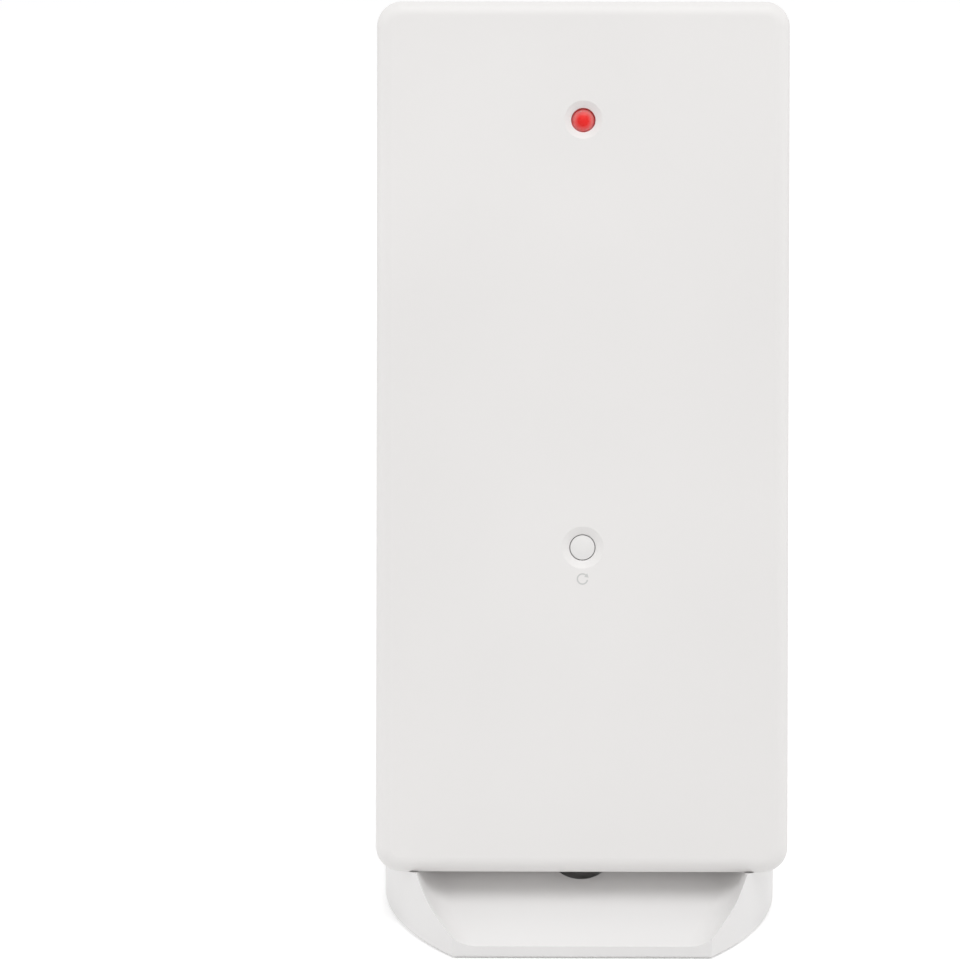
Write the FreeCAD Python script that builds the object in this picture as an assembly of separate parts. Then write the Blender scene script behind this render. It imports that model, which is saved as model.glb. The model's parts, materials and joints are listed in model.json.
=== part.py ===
"""Wireless outdoor temperature sensor on its foot, in millimetres.

The sensor unit is drawn upright in a frame of its own: x to the right, y from
the front face to the back, z up from its underside. It is then leaned back and
set down on the foot. In the finished frame +Z is up, the front faces -Y, and
the origin is the middle of the foot's underside.
"""
import FreeCAD, Part
import math
import os

Vector = FreeCAD.Vector

# Sensor unit, outside
body_width = 54.0
body_height = 114.0
body_depth = 24.0
body_corner_radius = 3.3
front_edge_radius = 2.0
back_edge_radius = 1.5
wall = 2.0
parting_depth = 11.0
parting_groove_width = 0.4
parting_groove_depth = 0.3

# How the unit stands on the foot
lean_deg = 15.0
seat_rise = 3.0
seat_clearance = 0.2

# Foot
foot_side_inset = 0.8
foot_front_reach = 6.8
foot_rear_reach = 16.0
foot_corner_radius = 34.5
foot_rear_radius = 9.0
foot_edge_radius = 0.5
foot_nose_margin = 0.6
foot_wall = 2.0
foot_floor = 1.8
cradle_rise = 1.2
mouth_sill_half_width = 15.7
mouth_shoulder_height = 6.0
mouth_shoulder_radius = 8.0
mouth_low_splay_deg = 45.7
mouth_high_splay_deg = 26.5
ramp_deg = 20.0
ramp_side_radius = 4.0
foot_hole_radius = 2.25
foot_hole_front_y = 9.1
foot_hole_spacing = 22.0
screw_well_radius = 3.7
core_depth = 3.9
core_wall = 1.8
core_rib_width = 1.5

# Back plate of the foot and its channel in the housing
plate_width = 22.0
plate_thickness = 1.8
plate_height = 17.0
plate_clearance = 0.2
rail_overlap = 3.0
rail_thickness = 1.0
channel_wall = 1.5
gusset_thickness = 2.0
gusset_reach = 6.0
gusset_height = 9.0

# Joint between the two housing halves
lip_depth = 1.6
lip_clearance = 0.12

# Status light
led_drop = 15.6
led_radius = 1.5
led_length = 5.3
led_flange_radius = 1.9
led_flange_thickness = 1.0
led_tip_depth = 0.25
led_clearance = 0.1
led_dish_radius = 2.5
led_dish_depth = 0.6
led_lead_side = 0.5
led_lead_spacing = 2.54

# Reset button
button_height = 42.6
button_radius = 1.6
button_clearance = 0.1
cover_rib_height = 1.6
button_tip_depth = 0.3
button_dome_height = 0.2
button_dish_radius = 2.75
button_dish_depth = 0.6
button_flange_radius = 2.7
button_flange_thickness = 0.7
button_stem_radius = 1.0
button_travel = 0.35
guide_wall = 1.2

# Small momentary switch behind the button
switch_side = 6.0
switch_height = 3.1
plunger_radius = 1.7
plunger_proud = 0.9
plunger_inside = 1.0
switch_leg_bite = 0.05

# Circuit board
board_front = 7.5
board_thickness = 1.6
board_width = 38.0
board_bottom = 16.0
board_top_margin = 10.0
board_corner_radius = 1.0
board_screw_x = 15.5
board_screw_margin = 7.5
post_radius = 2.4
board_screw_radius = 0.9
board_screw_head_radius = 1.8
board_screw_head_height = 1.2
board_screw_length = 6.0
solder_gap = 1.3

# Batteries
cell_radius = 5.25
cell_length = 44.5
cell_nub_radius = 1.9
cell_nub_height = 0.9
cell_edge_radius = 0.5
cell_pitch = 11.6
cell_clearance = 0.1
cell_side_clearance = 0.35

# Battery bay and its door
bay_bottom = 27.0
bay_wall = 1.2
bay_floor = 1.1
door_thickness = 1.7
door_cell_gap = 0.2
door_clearance = 0.15
door_seat_clearance = 0.1
door_side_margin = 2.6
door_end_margin = 1.8
door_corner_radius = 1.6
tab_width = 4.0
tab_thickness = 1.0
tab_length = 1.5
tab_spacing = 16.0
latch_width = 9.0
latch_length = 8.0
latch_slit = 0.8
grip_ridge_count = 3
grip_ridge_pitch = 1.6
grip_ridge_height = 0.35
finger_scoop_radius = 5.0
finger_scoop_depth = 1.2
door_rib_height = 2.0
door_rib_thickness = 1.0

# Battery contacts
contact_thickness = 0.4
contact_inset = 0.5
contact_dimple = 0.5
contact_depth = 9.0
contact_tab_width = 2.0
contact_slot_clearance = 0.2
spring_wire = 0.7
spring_turns = 2.5
spring_pitch = 1.3
spring_base_radius = 3.3
spring_tip_radius = 2.2
spring_bend = 1.0

# Channel selector
selector_space = 6.8
selector_length = 8.6
selector_height = 3.1
selector_width = 3.7
selector_clearance = 0.2
knob_side = 1.5
knob_proud = 2.0
knob_step = 2.0
knob_positions = 3
knob_clearance = 0.1

# Housing screws and their bosses
boss_radius = 3.0
boss_margin = 5.5
boss_end_margin = 7.0
screw_radius = 1.1
screw_length = 12.0
screw_head_radius = 2.2
screw_head_height = 1.6
screw_head_depth = 6.0
screw_clearance = 0.3
screw_pilot_clearance = 0.05
recess_width = 0.7
recess_depth = 0.9

# Keyhole for hanging
keyhole_head_radius = 4.0
keyhole_slot_radius = 2.1
keyhole_drop = 14.5
keyhole_length = 6.0
keyhole_depth = 6.0
keyhole_wall = 1.2

# Air slots
vent_count = 4
vent_height = 1.3
vent_pitch = 3.0
vent_length = 9.0
vent_inner_gap = 0.8
vent_bottom = 11.0

# Parts on the board
chip_radius = 6.0
chip_height = 1.5
chip_x = -5.0
crystal_radius = 1.0
crystal_length = 6.0
crystal_offset = (12.0, 4.0)
capacitor_radius = 2.0
capacitor_length = 7.0
capacitor_offset = (-9.0, -13.0)
radio_width = 12.0
radio_height = 16.0
radio_thickness = 0.8
radio_standoff = 1.6
radio_x = -11.0
radio_top_margin = 12.0
header_inset = 1.0
header_rise = 0.5
header_height = 2.0
resonator_size = (5.0, 1.3, 3.6)
resonator_edge_radius = 0.4
antenna_radius = 0.4
antenna_length = 82.0
antenna_bend = 2.0
antenna_depth = 5.0
antenna_foot_x = -14.0
antenna_foot_margin = 3.0
antenna_top_margin = 7.0
antenna_drop_x = 11.0
probe_radius = 1.3
probe_length = 2.8
probe_top_edge = 0.4
probe_tip_edge = 1.1
probe_depth = 15.0
probe_place = (15.0, 12.0)
probe_lead_radius = 0.25
probe_lead_spacing = 1.2
probe_lead_start = 19.0
probe_bend = 1.5
hole_clearance = 0.15

# Worked out from the values above
lean = math.radians(lean_deg)
half_width = body_width / 2
edge_rise = seat_rise + body_depth * math.sin(lean)
foot_front = -foot_front_reach
foot_rear = body_depth * math.cos(lean) + foot_rear_reach
foot_middle = (foot_front + foot_rear) / 2
foot_half_width = half_width - foot_side_inset
foot_block_height = edge_rise + 3 * cradle_rise
board_back = board_front + board_thickness
board_top = body_height - board_top_margin
antenna_foot_z = board_top - antenna_foot_margin
antenna_top_z = body_height - antenna_top_margin
radio_place = (radio_x, board_top - radio_top_margin - radio_height / 2)
chip_place = (chip_x, (button_height + radio_place[1] - radio_height / 2) / 2)
crystal_place = (chip_place[0] + crystal_offset[0], chip_place[1] + crystal_offset[1])
capacitor_place = (chip_place[0] + capacitor_offset[0], chip_place[1] + capacitor_offset[1])
bay_floor_front = board_back + solder_gap
bay_floor_back = bay_floor_front + bay_floor
cell_depth = bay_floor_back + cell_clearance + cell_radius
spring_height = spring_pitch * spring_turns + 2 * (spring_wire + spring_bend)
bay_length = 2 * contact_thickness + spring_height + contact_dimple + cell_length
bay_top = bay_bottom + bay_length
bay_half_width = cell_pitch / 2 + cell_radius + cell_side_clearance
door_half_width = bay_half_width + bay_wall + door_side_margin
door_bottom = bay_bottom - bay_wall - door_end_margin
selector_z = bay_top + bay_wall + selector_space / 2
door_top = bay_top + 2 * bay_wall + selector_space + door_end_margin
door_seat = cell_depth + cell_radius + door_cell_gap
door_back = door_seat + door_thickness
contact_middle_depth = cell_depth
led_z = body_height - led_drop
led_base = led_tip_depth + led_length
button_back = wall + button_flange_thickness
switch_front = board_front - switch_height
plunger_tip = switch_front - plunger_proud
plate_front = body_depth - rail_thickness - plate_clearance - plate_thickness
rail_gap_half = plate_width / 2 - rail_overlap
gusset_x = rail_gap_half / 2
boss_x = half_width - boss_margin
boss_heights = (boss_end_margin, body_height - boss_end_margin)
keyhole_z = body_height - keyhole_drop


def box(x0, x1, y0, y1, z0, z1):
    """Box between two corners."""
    return Part.makeBox(x1 - x0, y1 - y0, z1 - z0, Vector(x0, y0, z0))


def rod(x, z, y0, y1, radius):
    """Round bar that runs from front to back."""
    return Part.makeCylinder(radius, y1 - y0, Vector(x, y0, z), Vector(0, 1, 0))


def cone(x, z, y0, y1, radius0, radius1):
    """Cone that runs from front to back."""
    return Part.makeCone(radius0, radius1, y1 - y0, Vector(x, y0, z), Vector(0, 1, 0))


def closed_outline(corners):
    """Closed wire through the corners, each one a point and its rounding."""
    count = len(corners)
    stretches = []
    for i in range(count):
        point, radius = corners[i]
        before = corners[i - 1][0] - point
        after = corners[(i + 1) % count][0] - point
        if radius <= 0:
            stretches.append((point, point, point))
            continue
        before.normalize()
        after.normalize()
        half_turn = before.getAngle(after) / 2
        reach = radius / math.tan(half_turn)
        inward = (before + after).normalize()
        arc_middle = point + inward * (radius / math.sin(half_turn) - radius)
        stretches.append((point + before * reach, arc_middle, point + after * reach))
    edges = []
    for i in range(count):
        start, middle, end = stretches[i]
        following = stretches[(i + 1) % count][0]
        if (end - start).Length > 1e-6:
            edges.append(Part.Arc(start, middle, end).toShape())
        if (following - end).Length > 1e-6:
            edges.append(Part.LineSegment(end, following).toShape())
    return Part.Wire(edges)


def slab(half_x, z0, z1, y0, y1, radius, middle_x=0.0):
    """Plate with rounded corners in front view, from depth y0 to y1."""
    corners = [
        (Vector(middle_x - half_x, y0, z0), radius),
        (Vector(middle_x + half_x, y0, z0), radius),
        (Vector(middle_x + half_x, y0, z1), radius),
        (Vector(middle_x - half_x, y0, z1), radius),
    ]
    return Part.Face(closed_outline(corners)).extrude(Vector(0, y1 - y0, 0))


def turned(profile, base, axis):
    """Solid of revolution: profile holds (radius, height) pairs about the axis."""
    points = [Vector(radius, 0, height) for radius, height in profile]
    face = Part.Face(Part.makePolygon(points + points[:1]))
    solid = face.revolve(Vector(0, 0, 0), Vector(0, 0, 1), 360)
    solid.Placement = FreeCAD.Placement(base, FreeCAD.Rotation(Vector(0, 0, 1), axis))
    return solid


def edges_where(shape, test):
    """Edges of which every end point passes the test."""
    return [edge for edge in shape.Edges if all(test(vertex.Point) for vertex in edge.Vertexes)]


def inset_slab(inset, y0, y1):
    """The unit's outline drawn in by an inset, from depth y0 to y1."""
    radius = max(body_corner_radius - inset, 0.6)
    return slab(half_width - inset, inset, body_height - inset, y0, y1, radius)


def envelope(growth=0.0):
    """Outer form of the closed unit, or that form grown by a clearance."""
    solid = inset_slab(-growth, -growth, body_depth + growth)
    front = edges_where(solid, lambda p: abs(p.y + growth) < 1e-6)
    solid = solid.makeFillet(front_edge_radius + growth, front)
    back = edges_where(solid, lambda p: abs(p.y - body_depth - growth) < 1e-6)
    return solid.makeFillet(back_edge_radius + growth, back)


def parting_groove():
    """Shallow groove round the case, half in each of its halves."""
    half = parting_groove_width / 2
    around = inset_slab(-1, parting_depth - half, parting_depth + half)
    return around.cut(inset_slab(parting_groove_depth, parting_depth - 1, parting_depth + 1))


def front_boss(x, z):
    """Boss in the front cover that a housing screw bites into."""
    return rod(x, z, wall / 2, parting_depth, boss_radius)


def board_screw_places():
    """The four places where the circuit board is screwed down."""
    heights = (board_bottom + board_screw_margin, board_top - board_screw_margin)
    return [(side * board_screw_x, z) for side in (-1, 1) for z in heights]


def boss_places():
    """The four places where the two housing halves are screwed together."""
    return [(side * boss_x, z) for side in (-1, 1) for z in boss_heights]


def make_front_cover():
    """Moulded front half: rounded shell, bosses, posts, light and button holes."""
    cover = envelope().cut(inset_slab(wall, wall, body_depth))
    cover = cover.common(box(-body_width, body_width, -1, parting_depth, -1, body_height + 1))
    cover = cover.cut(inset_slab(wall / 2, parting_depth - lip_depth, parting_depth + 1))
    added = [front_boss(x, z) for x, z in boss_places()]
    added += [rod(x, z, wall / 2, board_front, post_radius) for x, z in board_screw_places()]
    added.append(rod(0, button_height, wall / 2, button_back, button_flange_radius + guide_wall))
    added.append(rod(0, led_z, wall / 2, wall + guide_wall, led_radius + 2 * guide_wall))
    for z in boss_heights:
        added.append(box(-boss_x, boss_x, wall / 2, wall + cover_rib_height,
                         z - guide_wall / 2, z + guide_wall / 2))
    cover = cover.fuse(added)
    dish_inner = led_radius + led_clearance
    removed = [rod(0, led_z, -1, led_base, dish_inner)]
    removed.append(cone(0, led_z, 0, led_dish_depth, led_dish_radius, dish_inner))
    hole = button_radius + button_clearance
    removed.append(rod(0, button_height, -1, wall + 1, hole))
    removed.append(cone(0, button_height, 0, button_dish_depth, button_dish_radius, hole))
    removed.append(rod(0, button_height, wall, led_base, button_flange_radius + 2 * button_clearance))
    pilot = screw_radius + screw_pilot_clearance
    tip_depth = body_depth - screw_head_depth - screw_length - wall / 4
    removed += [rod(x, z, tip_depth, parting_depth + 1, pilot) for x, z in boss_places()]
    small_pilot = board_screw_radius + screw_pilot_clearance
    small_tip = board_back - board_screw_length
    removed += [rod(x, z, small_tip, board_front + 1, small_pilot) for x, z in board_screw_places()]
    removed.append(parting_groove())
    return cover.cut(removed).removeSplitter()


def keyhole_cutter(y0, y1, growth):
    """Keyhole shape: round entry below, narrow slot above it."""
    entry = rod(0, keyhole_z, y0, y1, keyhole_head_radius + growth)
    top = keyhole_z + keyhole_length
    slot_half = keyhole_slot_radius + growth
    slot = box(-slot_half, slot_half, y0, y1, keyhole_z, top)
    return entry.fuse([slot, rod(0, top, y0, y1, slot_half)])


def vent_cutters():
    """Air slots low on the back, on both sides of the plate's channel."""
    start = plate_width / 2 + plate_clearance + channel_wall + vent_inner_gap
    cutters = []
    for side in (-1, 1):
        for i in range(vent_count):
            z = vent_bottom + i * vent_pitch
            middle = side * (start + vent_length / 2)
            cutters.append(slab(vent_length / 2, z, z + vent_height, body_depth - wall - 1, body_depth + 1,
                                vent_height / 2, middle))
    return cutters


def selector_body(growth=0.0):
    """Body of the channel selector on the back of the board."""
    half_x = selector_length / 2 + growth
    half_z = selector_width / 2 + growth
    return box(-half_x, half_x, board_back, board_back + selector_height,
               selector_z - half_z, selector_z + half_z)


def contact_tab(x, z0, growth=0.0):
    """Soldering tab of a battery contact, from the bay to the board."""
    half = contact_tab_width / 2 + growth
    return box(x - half, x + half, board_front, contact_middle_depth,
               z0 - growth, z0 + contact_thickness + growth)


def tab_places():
    """Middles of the two hook tabs at the door's lower edge."""
    return (-tab_spacing / 2, tab_spacing / 2)


def make_rear_housing():
    """Moulded rear half: shell, battery bay, bosses, keyhole, vents and plate channel."""
    shell = envelope().cut(inset_slab(wall, 0, body_depth - wall))
    shell = shell.common(box(-body_width, body_width, parting_depth, body_depth + 1, -1, body_height + 1))
    lip_front = parting_depth - lip_depth + lip_clearance
    lip_outer = inset_slab(wall / 2 + lip_clearance, lip_front, parting_depth + 1)
    lip = lip_outer.cut(inset_slab(wall, 0, body_depth))
    added = [lip]
    added += [rod(x, z, parting_depth, body_depth - wall / 2, boss_radius) for x, z in boss_places()]
    outer = bay_half_width + bay_wall
    back = body_depth - wall / 2
    added.append(box(-outer, outer, bay_floor_front, door_seat,
                     bay_bottom - bay_wall, door_top - door_end_margin))
    frame_half = door_half_width + bay_wall
    frame_front = door_seat - door_seat_clearance - bay_wall
    frame_back = max(back, door_back)
    added.append(slab(frame_half, door_bottom - bay_wall, door_top + bay_wall, frame_front, frame_back,
                      door_corner_radius))
    added.append(keyhole_cutter(body_depth - keyhole_depth - keyhole_wall, back, keyhole_wall))
    channel_half = plate_width / 2 + plate_clearance
    channel_top = plate_height + plate_clearance
    channel_front = plate_front - plate_clearance
    outer_half = channel_half + channel_wall
    added.append(box(-outer_half, outer_half, channel_front - channel_wall, back,
                     wall / 2, channel_top + channel_wall))
    housing = shell.fuse(added)

    open_back = body_depth + 2 * cell_radius
    removed = [box(-bay_half_width, bay_half_width, bay_floor_back, open_back, bay_bottom, bay_top)]
    selector_bottom = bay_top + bay_wall
    removed.append(box(-bay_half_width, bay_half_width, bay_floor_back, open_back,
                       selector_bottom, selector_bottom + selector_space))
    removed.append(slab(door_half_width, door_bottom, door_top, door_seat - door_seat_clearance,
                        open_back, door_corner_radius))
    removed.append(selector_body(selector_clearance))
    for x in tab_places():
        removed.append(tab_slot(x))
    scoop_depth = door_back + finger_scoop_radius - finger_scoop_depth
    removed.append(Part.makeSphere(finger_scoop_radius, Vector(0, scoop_depth, door_top)))
    removed.append(keyhole_cutter(body_depth - wall - 1, body_depth + 1, 0))
    removed.append(keyhole_pocket())
    removed.append(parting_groove())
    removed += vent_cutters()
    removed.append(box(-channel_half, channel_half, channel_front, body_depth - rail_thickness,
                       -1, channel_top))
    removed.append(box(-rail_gap_half, rail_gap_half, channel_front, body_depth + 1, -1, channel_top))
    for x, z in boss_places():
        removed.append(rod(x, z, parting_depth - 1, body_depth, screw_radius + screw_clearance))
        removed.append(rod(x, z, body_depth - screw_head_depth, body_depth + 1,
                           screw_head_radius + screw_clearance))
    for x, z in contact_tab_places():
        removed.append(contact_tab(x, z, contact_slot_clearance))
    return housing.cut(removed).removeSplitter()


def tab_slot(x):
    """Room for a hook tab of the door, also while the door swings."""
    half = tab_width / 2 + 2 * door_clearance
    sweep = math.hypot(door_thickness, tab_length) + 2 * door_clearance
    return box(x - half, x + half, door_back - sweep, door_seat + tab_thickness + door_clearance,
               door_bottom - tab_length - 2 * door_clearance, door_bottom + sweep)


def keyhole_pocket():
    """Room behind the keyhole, as wide as the wall screw's head along its whole length."""
    y0 = body_depth - keyhole_depth
    y1 = body_depth - wall
    reach = keyhole_head_radius
    top = keyhole_z + keyhole_length
    entry = rod(0, keyhole_z, y0, y1, reach)
    return entry.fuse([box(-reach, reach, y0, y1, keyhole_z, top), rod(0, top, y0, y1, reach)])


def make_battery_door():
    """Door with hook tabs, a springy latch, grip ridges and a rib between the cells."""
    half = door_half_width - door_clearance
    bottom = door_bottom + door_clearance
    top = door_top - door_clearance
    door = slab(half, bottom, top, door_seat, door_back, door_corner_radius - door_clearance)
    added = []
    for x in tab_places():
        added.append(box(x - tab_width / 2, x + tab_width / 2, door_seat, door_seat + tab_thickness,
                         door_bottom - tab_length, bottom + 1))
    rib_half = door_rib_thickness / 2
    rib_bottom = bay_bottom + cell_length / 4
    added.append(box(-rib_half, rib_half, door_seat - door_rib_height, door_seat + door_rib_thickness,
                     rib_bottom, rib_bottom + cell_length / 2))
    first = top - latch_length + grip_ridge_pitch
    for i in range(grip_ridge_count):
        z = first + i * grip_ridge_pitch
        ridge = Part.makeCylinder(grip_ridge_height, latch_width - 3 * latch_slit,
                                  Vector(1.5 * latch_slit - latch_width / 2, door_back, z), Vector(1, 0, 0))
        added.append(ridge)
    door = door.fuse(added)
    removed = []
    for side in (-1, 1):
        x = side * latch_width / 2
        removed.append(box(x - latch_slit / 2, x + latch_slit / 2, door_seat - 1, door_back + 1,
                           top - latch_length, top + 1))
    return door.cut(removed).removeSplitter()


def make_reset_button():
    """Button cap with a low dome, a flange behind the cover and a short stem."""
    rim = button_tip_depth + button_dome_height
    flange_front = wall
    shaft = rod(0, button_height, rim, flange_front + 0.1, button_radius)
    flange = rod(0, button_height, flange_front, flange_front + button_flange_thickness, button_flange_radius)
    stem = rod(0, button_height, flange_front, plunger_tip, button_stem_radius)
    sphere_radius = (button_radius ** 2 + button_dome_height ** 2) / (2 * button_dome_height)
    ball = Part.makeSphere(sphere_radius, Vector(0, button_tip_depth + sphere_radius, button_height))
    dome = ball.common(rod(0, button_height, 0, rim, button_radius))
    return shaft.fuse([flange, stem, dome]).removeSplitter()


def make_switch_plunger():
    """Round plunger of the momentary switch, pushed in by the button."""
    return rod(0, button_height, plunger_tip, switch_front + plunger_inside, plunger_radius)


def make_momentary_switch():
    """Square switch body with a bore for its plunger and four solder legs."""
    half = switch_side / 2
    body = box(-half, half, switch_front, board_front, button_height - half, button_height + half)
    bore_depth = plunger_inside + button_travel + button_clearance
    body = body.cut(rod(0, button_height, switch_front - 1, switch_front + bore_depth,
                        plunger_radius + button_clearance / 2))
    leg_start = board_front - switch_height / 2
    return body.fuse([pin(x, z, leg_start, board_back) for x, z in switch_leg_places()])


def switch_leg_places():
    """Places of the momentary switch's four legs."""
    reach = switch_side / 2 + led_lead_side / 2 - switch_leg_bite
    rise = switch_side / 3
    return [(side * reach, button_height + way * rise) for side in (-1, 1) for way in (-1, 1)]


def pin(x, z, y0, y1, growth=0.0):
    """Square wire that runs from front to back."""
    half = led_lead_side / 2 + growth
    return box(x - half, x + half, y0, y1, z - half, z + half)


def lead_places():
    """Places of the light's two leads."""
    return [(side * led_lead_spacing / 2, led_z) for side in (-1, 1)]


def make_status_light():
    """Clear-cast light: domed lens, straight side and flange."""
    straight = rod(0, led_z, led_tip_depth + led_radius, led_base, led_radius)
    dome = Part.makeSphere(led_radius, Vector(0, led_tip_depth + led_radius, led_z))
    flange = rod(0, led_z, led_base - led_flange_thickness, led_base, led_flange_radius)
    return straight.fuse([dome, flange]).removeSplitter()


def make_light_leads():
    """The light's two leads, from its base through the board."""
    leads = [pin(x, z, led_base, board_back + solder_gap / 2) for x, z in lead_places()]
    return Part.makeCompound(leads)


def make_light_spacer():
    """Collar that holds the light at its height above the board."""
    collar = rod(0, led_z, led_base, board_front, led_flange_radius)
    holes = [pin(x, z, led_base - 1, board_front + 1, hole_clearance) for x, z in lead_places()]
    return collar.cut(holes)


def make_main_board():
    """Circuit board with its screw holes, lead holes and contact slots."""
    board = slab(board_width / 2, board_bottom, board_top, board_front, board_back, board_corner_radius)
    through = (board_front - 1, board_back + 1)
    removed = [rod(x, z, *through, board_screw_radius + hole_clearance) for x, z in board_screw_places()]
    removed += [pin(x, z, *through, hole_clearance) for x, z in lead_places()]
    removed += [contact_tab(x, z, contact_slot_clearance) for x, z in contact_tab_places()]
    removed += [pin(x, z, *through, hole_clearance) for x, z in switch_leg_places()]
    removed.append(rod(antenna_foot_x, antenna_foot_z, *through, antenna_radius + hole_clearance))
    for x in probe_lead_places():
        removed.append(rod(x, probe_lead_start, *through, probe_lead_radius + hole_clearance))
    return board.cut(removed)


def make_controller_chip():
    """Black cast blob that covers the bare controller die."""
    sphere_radius = (chip_radius ** 2 + chip_height ** 2) / (2 * chip_height)
    x, z = chip_place
    ball = Part.makeSphere(sphere_radius, Vector(x, board_front - chip_height + sphere_radius, z))
    return ball.common(rod(x, z, board_front - chip_height - 1, board_front, chip_radius + 1))


def lying_can(place, radius, length):
    """Round can that lies on the board along its height, with two short leads."""
    x, z = place
    can = Part.makeCylinder(radius, length, Vector(x, board_front - radius, z - length / 2), Vector(0, 0, 1))
    can = can.makeFillet(radius / 5, can.Edges)
    leads = []
    for side in (-1, 1):
        lead_x = x + side * radius / 2
        start = z - length / 2 - led_lead_side
        leads.append(box(lead_x - led_lead_side / 4, lead_x + led_lead_side / 4, board_front - radius,
                         board_front, start, start + led_lead_side / 2))
        leads.append(box(lead_x - led_lead_side / 4, lead_x + led_lead_side / 4, board_front - radius,
                         board_front - radius + led_lead_side / 2, start, z - length / 4))
    return can.fuse(leads)


def make_clock_crystal():
    """Small tuning-fork crystal in its round can."""
    return lying_can(crystal_place, crystal_radius, crystal_length)


def make_capacitor():
    """Electrolytic capacitor that steadies the supply."""
    return lying_can(capacitor_place, capacitor_radius, capacitor_length)


def make_radio_board():
    """Radio transmitter's small board, carried by a pin strip on the main board."""
    x, z = radio_place
    half_x = radio_width / 2
    half_z = radio_height / 2
    back = board_front - radio_standoff
    board = box(x - half_x, x + half_x, back - radio_thickness, back, z - half_z, z + half_z)
    low = z - half_z + header_rise
    header = box(x - half_x + header_inset, x + half_x - header_inset, back, board_front,
                 low, low + header_height)
    return board.fuse(header).removeSplitter()


def make_radio_resonator():
    """Metal can of the transmitter's resonator."""
    x, z = radio_place
    size_x, size_y, size_z = resonator_size
    back = board_front - radio_standoff - radio_thickness
    can = box(x - size_x / 2, x + size_x / 2, back - size_y, back, z, z + size_z)
    front_edges = edges_where(can, lambda p: p.y < back - size_y + 1e-6)
    return can.makeFillet(resonator_edge_radius, front_edges)


def bent_wire(points, bend, radius):
    """Round wire along straight runs joined by tangent bends of one radius."""
    pieces = []
    start = points[0]
    for i in range(1, len(points) - 1):
        corner = points[i]
        heading = (corner - points[i - 1]).normalize()
        onward = (points[i + 1] - corner).normalize()
        turn = heading.getAngle(onward)
        reach = bend * math.tan(turn / 2)
        first = corner - heading * reach
        inward = (onward - heading).normalize()
        centre = corner + inward * (bend / math.cos(turn / 2))
        section = Part.Face(Part.Wire(Part.makeCircle(radius, first, heading)))
        pieces.append(straight_wire(start, first, radius))
        pieces.append(section.revolve(centre, heading.cross(onward), math.degrees(turn)))
        start = corner + onward * reach
    pieces.append(straight_wire(start, points[-1], radius))
    return pieces[0].fuse(pieces[1:])


def straight_wire(start, end, radius):
    """Straight round wire between two points."""
    return Part.makeCylinder(radius, (end - start).Length, start, end - start)


def make_antenna_wire():
    """Quarter-wave wire that stands off the board and folds over its top."""
    across = antenna_drop_x - antenna_foot_x
    used = (board_back - antenna_depth) + (antenna_top_z - antenna_foot_z) + across
    drop = antenna_length - used
    points = [
        Vector(antenna_foot_x, board_back, antenna_foot_z),
        Vector(antenna_foot_x, antenna_depth, antenna_foot_z),
        Vector(antenna_foot_x, antenna_depth, antenna_top_z),
        Vector(antenna_drop_x, antenna_depth, antenna_top_z),
        Vector(antenna_drop_x, antenna_depth, antenna_top_z - drop),
    ]
    return bent_wire(points, antenna_bend, antenna_radius)


def probe_lead_places():
    """The temperature probe's two lead positions."""
    return [probe_place[0] + side * probe_lead_spacing / 2 for side in (-1, 1)]


def make_temperature_probe():
    """Thermistor bead on two leads, held in the air behind the vents."""
    x, z = probe_place
    top = z + probe_length / 2
    bead = Part.makeCylinder(probe_radius, probe_length, Vector(x, probe_depth, top - probe_length))
    bead = bead.makeFillet(probe_top_edge, edges_where(bead, lambda p: p.z > top - 1e-6))
    bead = bead.makeFillet(probe_tip_edge, edges_where(bead, lambda p: p.z < top - probe_length + 1e-6))
    leads = []
    for lead_x in probe_lead_places():
        points = [
            Vector(lead_x, board_front, probe_lead_start),
            Vector(lead_x, probe_depth, probe_lead_start),
            Vector(lead_x, probe_depth, z),
        ]
        leads.append(bent_wire(points, probe_bend, probe_lead_radius))
    return bead.fuse(leads)


def arc_from(start, direction, end, reach):
    """Arc from start, tangent to direction, to end; reach is its tangent length."""
    corner = start + direction * reach
    half_chord = (end - start).Length / 2
    middle = (start + end) * 0.5
    outward = corner - middle
    if outward.Length < 1e-6:
        return Part.LineSegment(start, end).toShape()
    turn = math.acos(min(1.0, half_chord / reach))
    rise = half_chord * math.tan(turn / 2)
    return Part.Arc(start, middle + outward.normalize() * rise, end).toShape()


def biarc(start, direction, end, end_direction):
    """Two tangent arcs that join two points with the given directions."""
    chord = end - start
    turn = 2 * (1 - direction.dot(end_direction))
    along = chord.dot(direction + end_direction)
    if turn < 1e-9:
        reach = chord.dot(chord) / (2 * along)
    else:
        reach = (math.sqrt(along ** 2 + turn * chord.dot(chord)) - along) / turn
    joint = (start + direction * reach + end - end_direction * reach) * 0.5
    second = arc_from(end, end_direction * -1, joint, reach)
    return [arc_from(start, direction, joint, reach), second]


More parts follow.
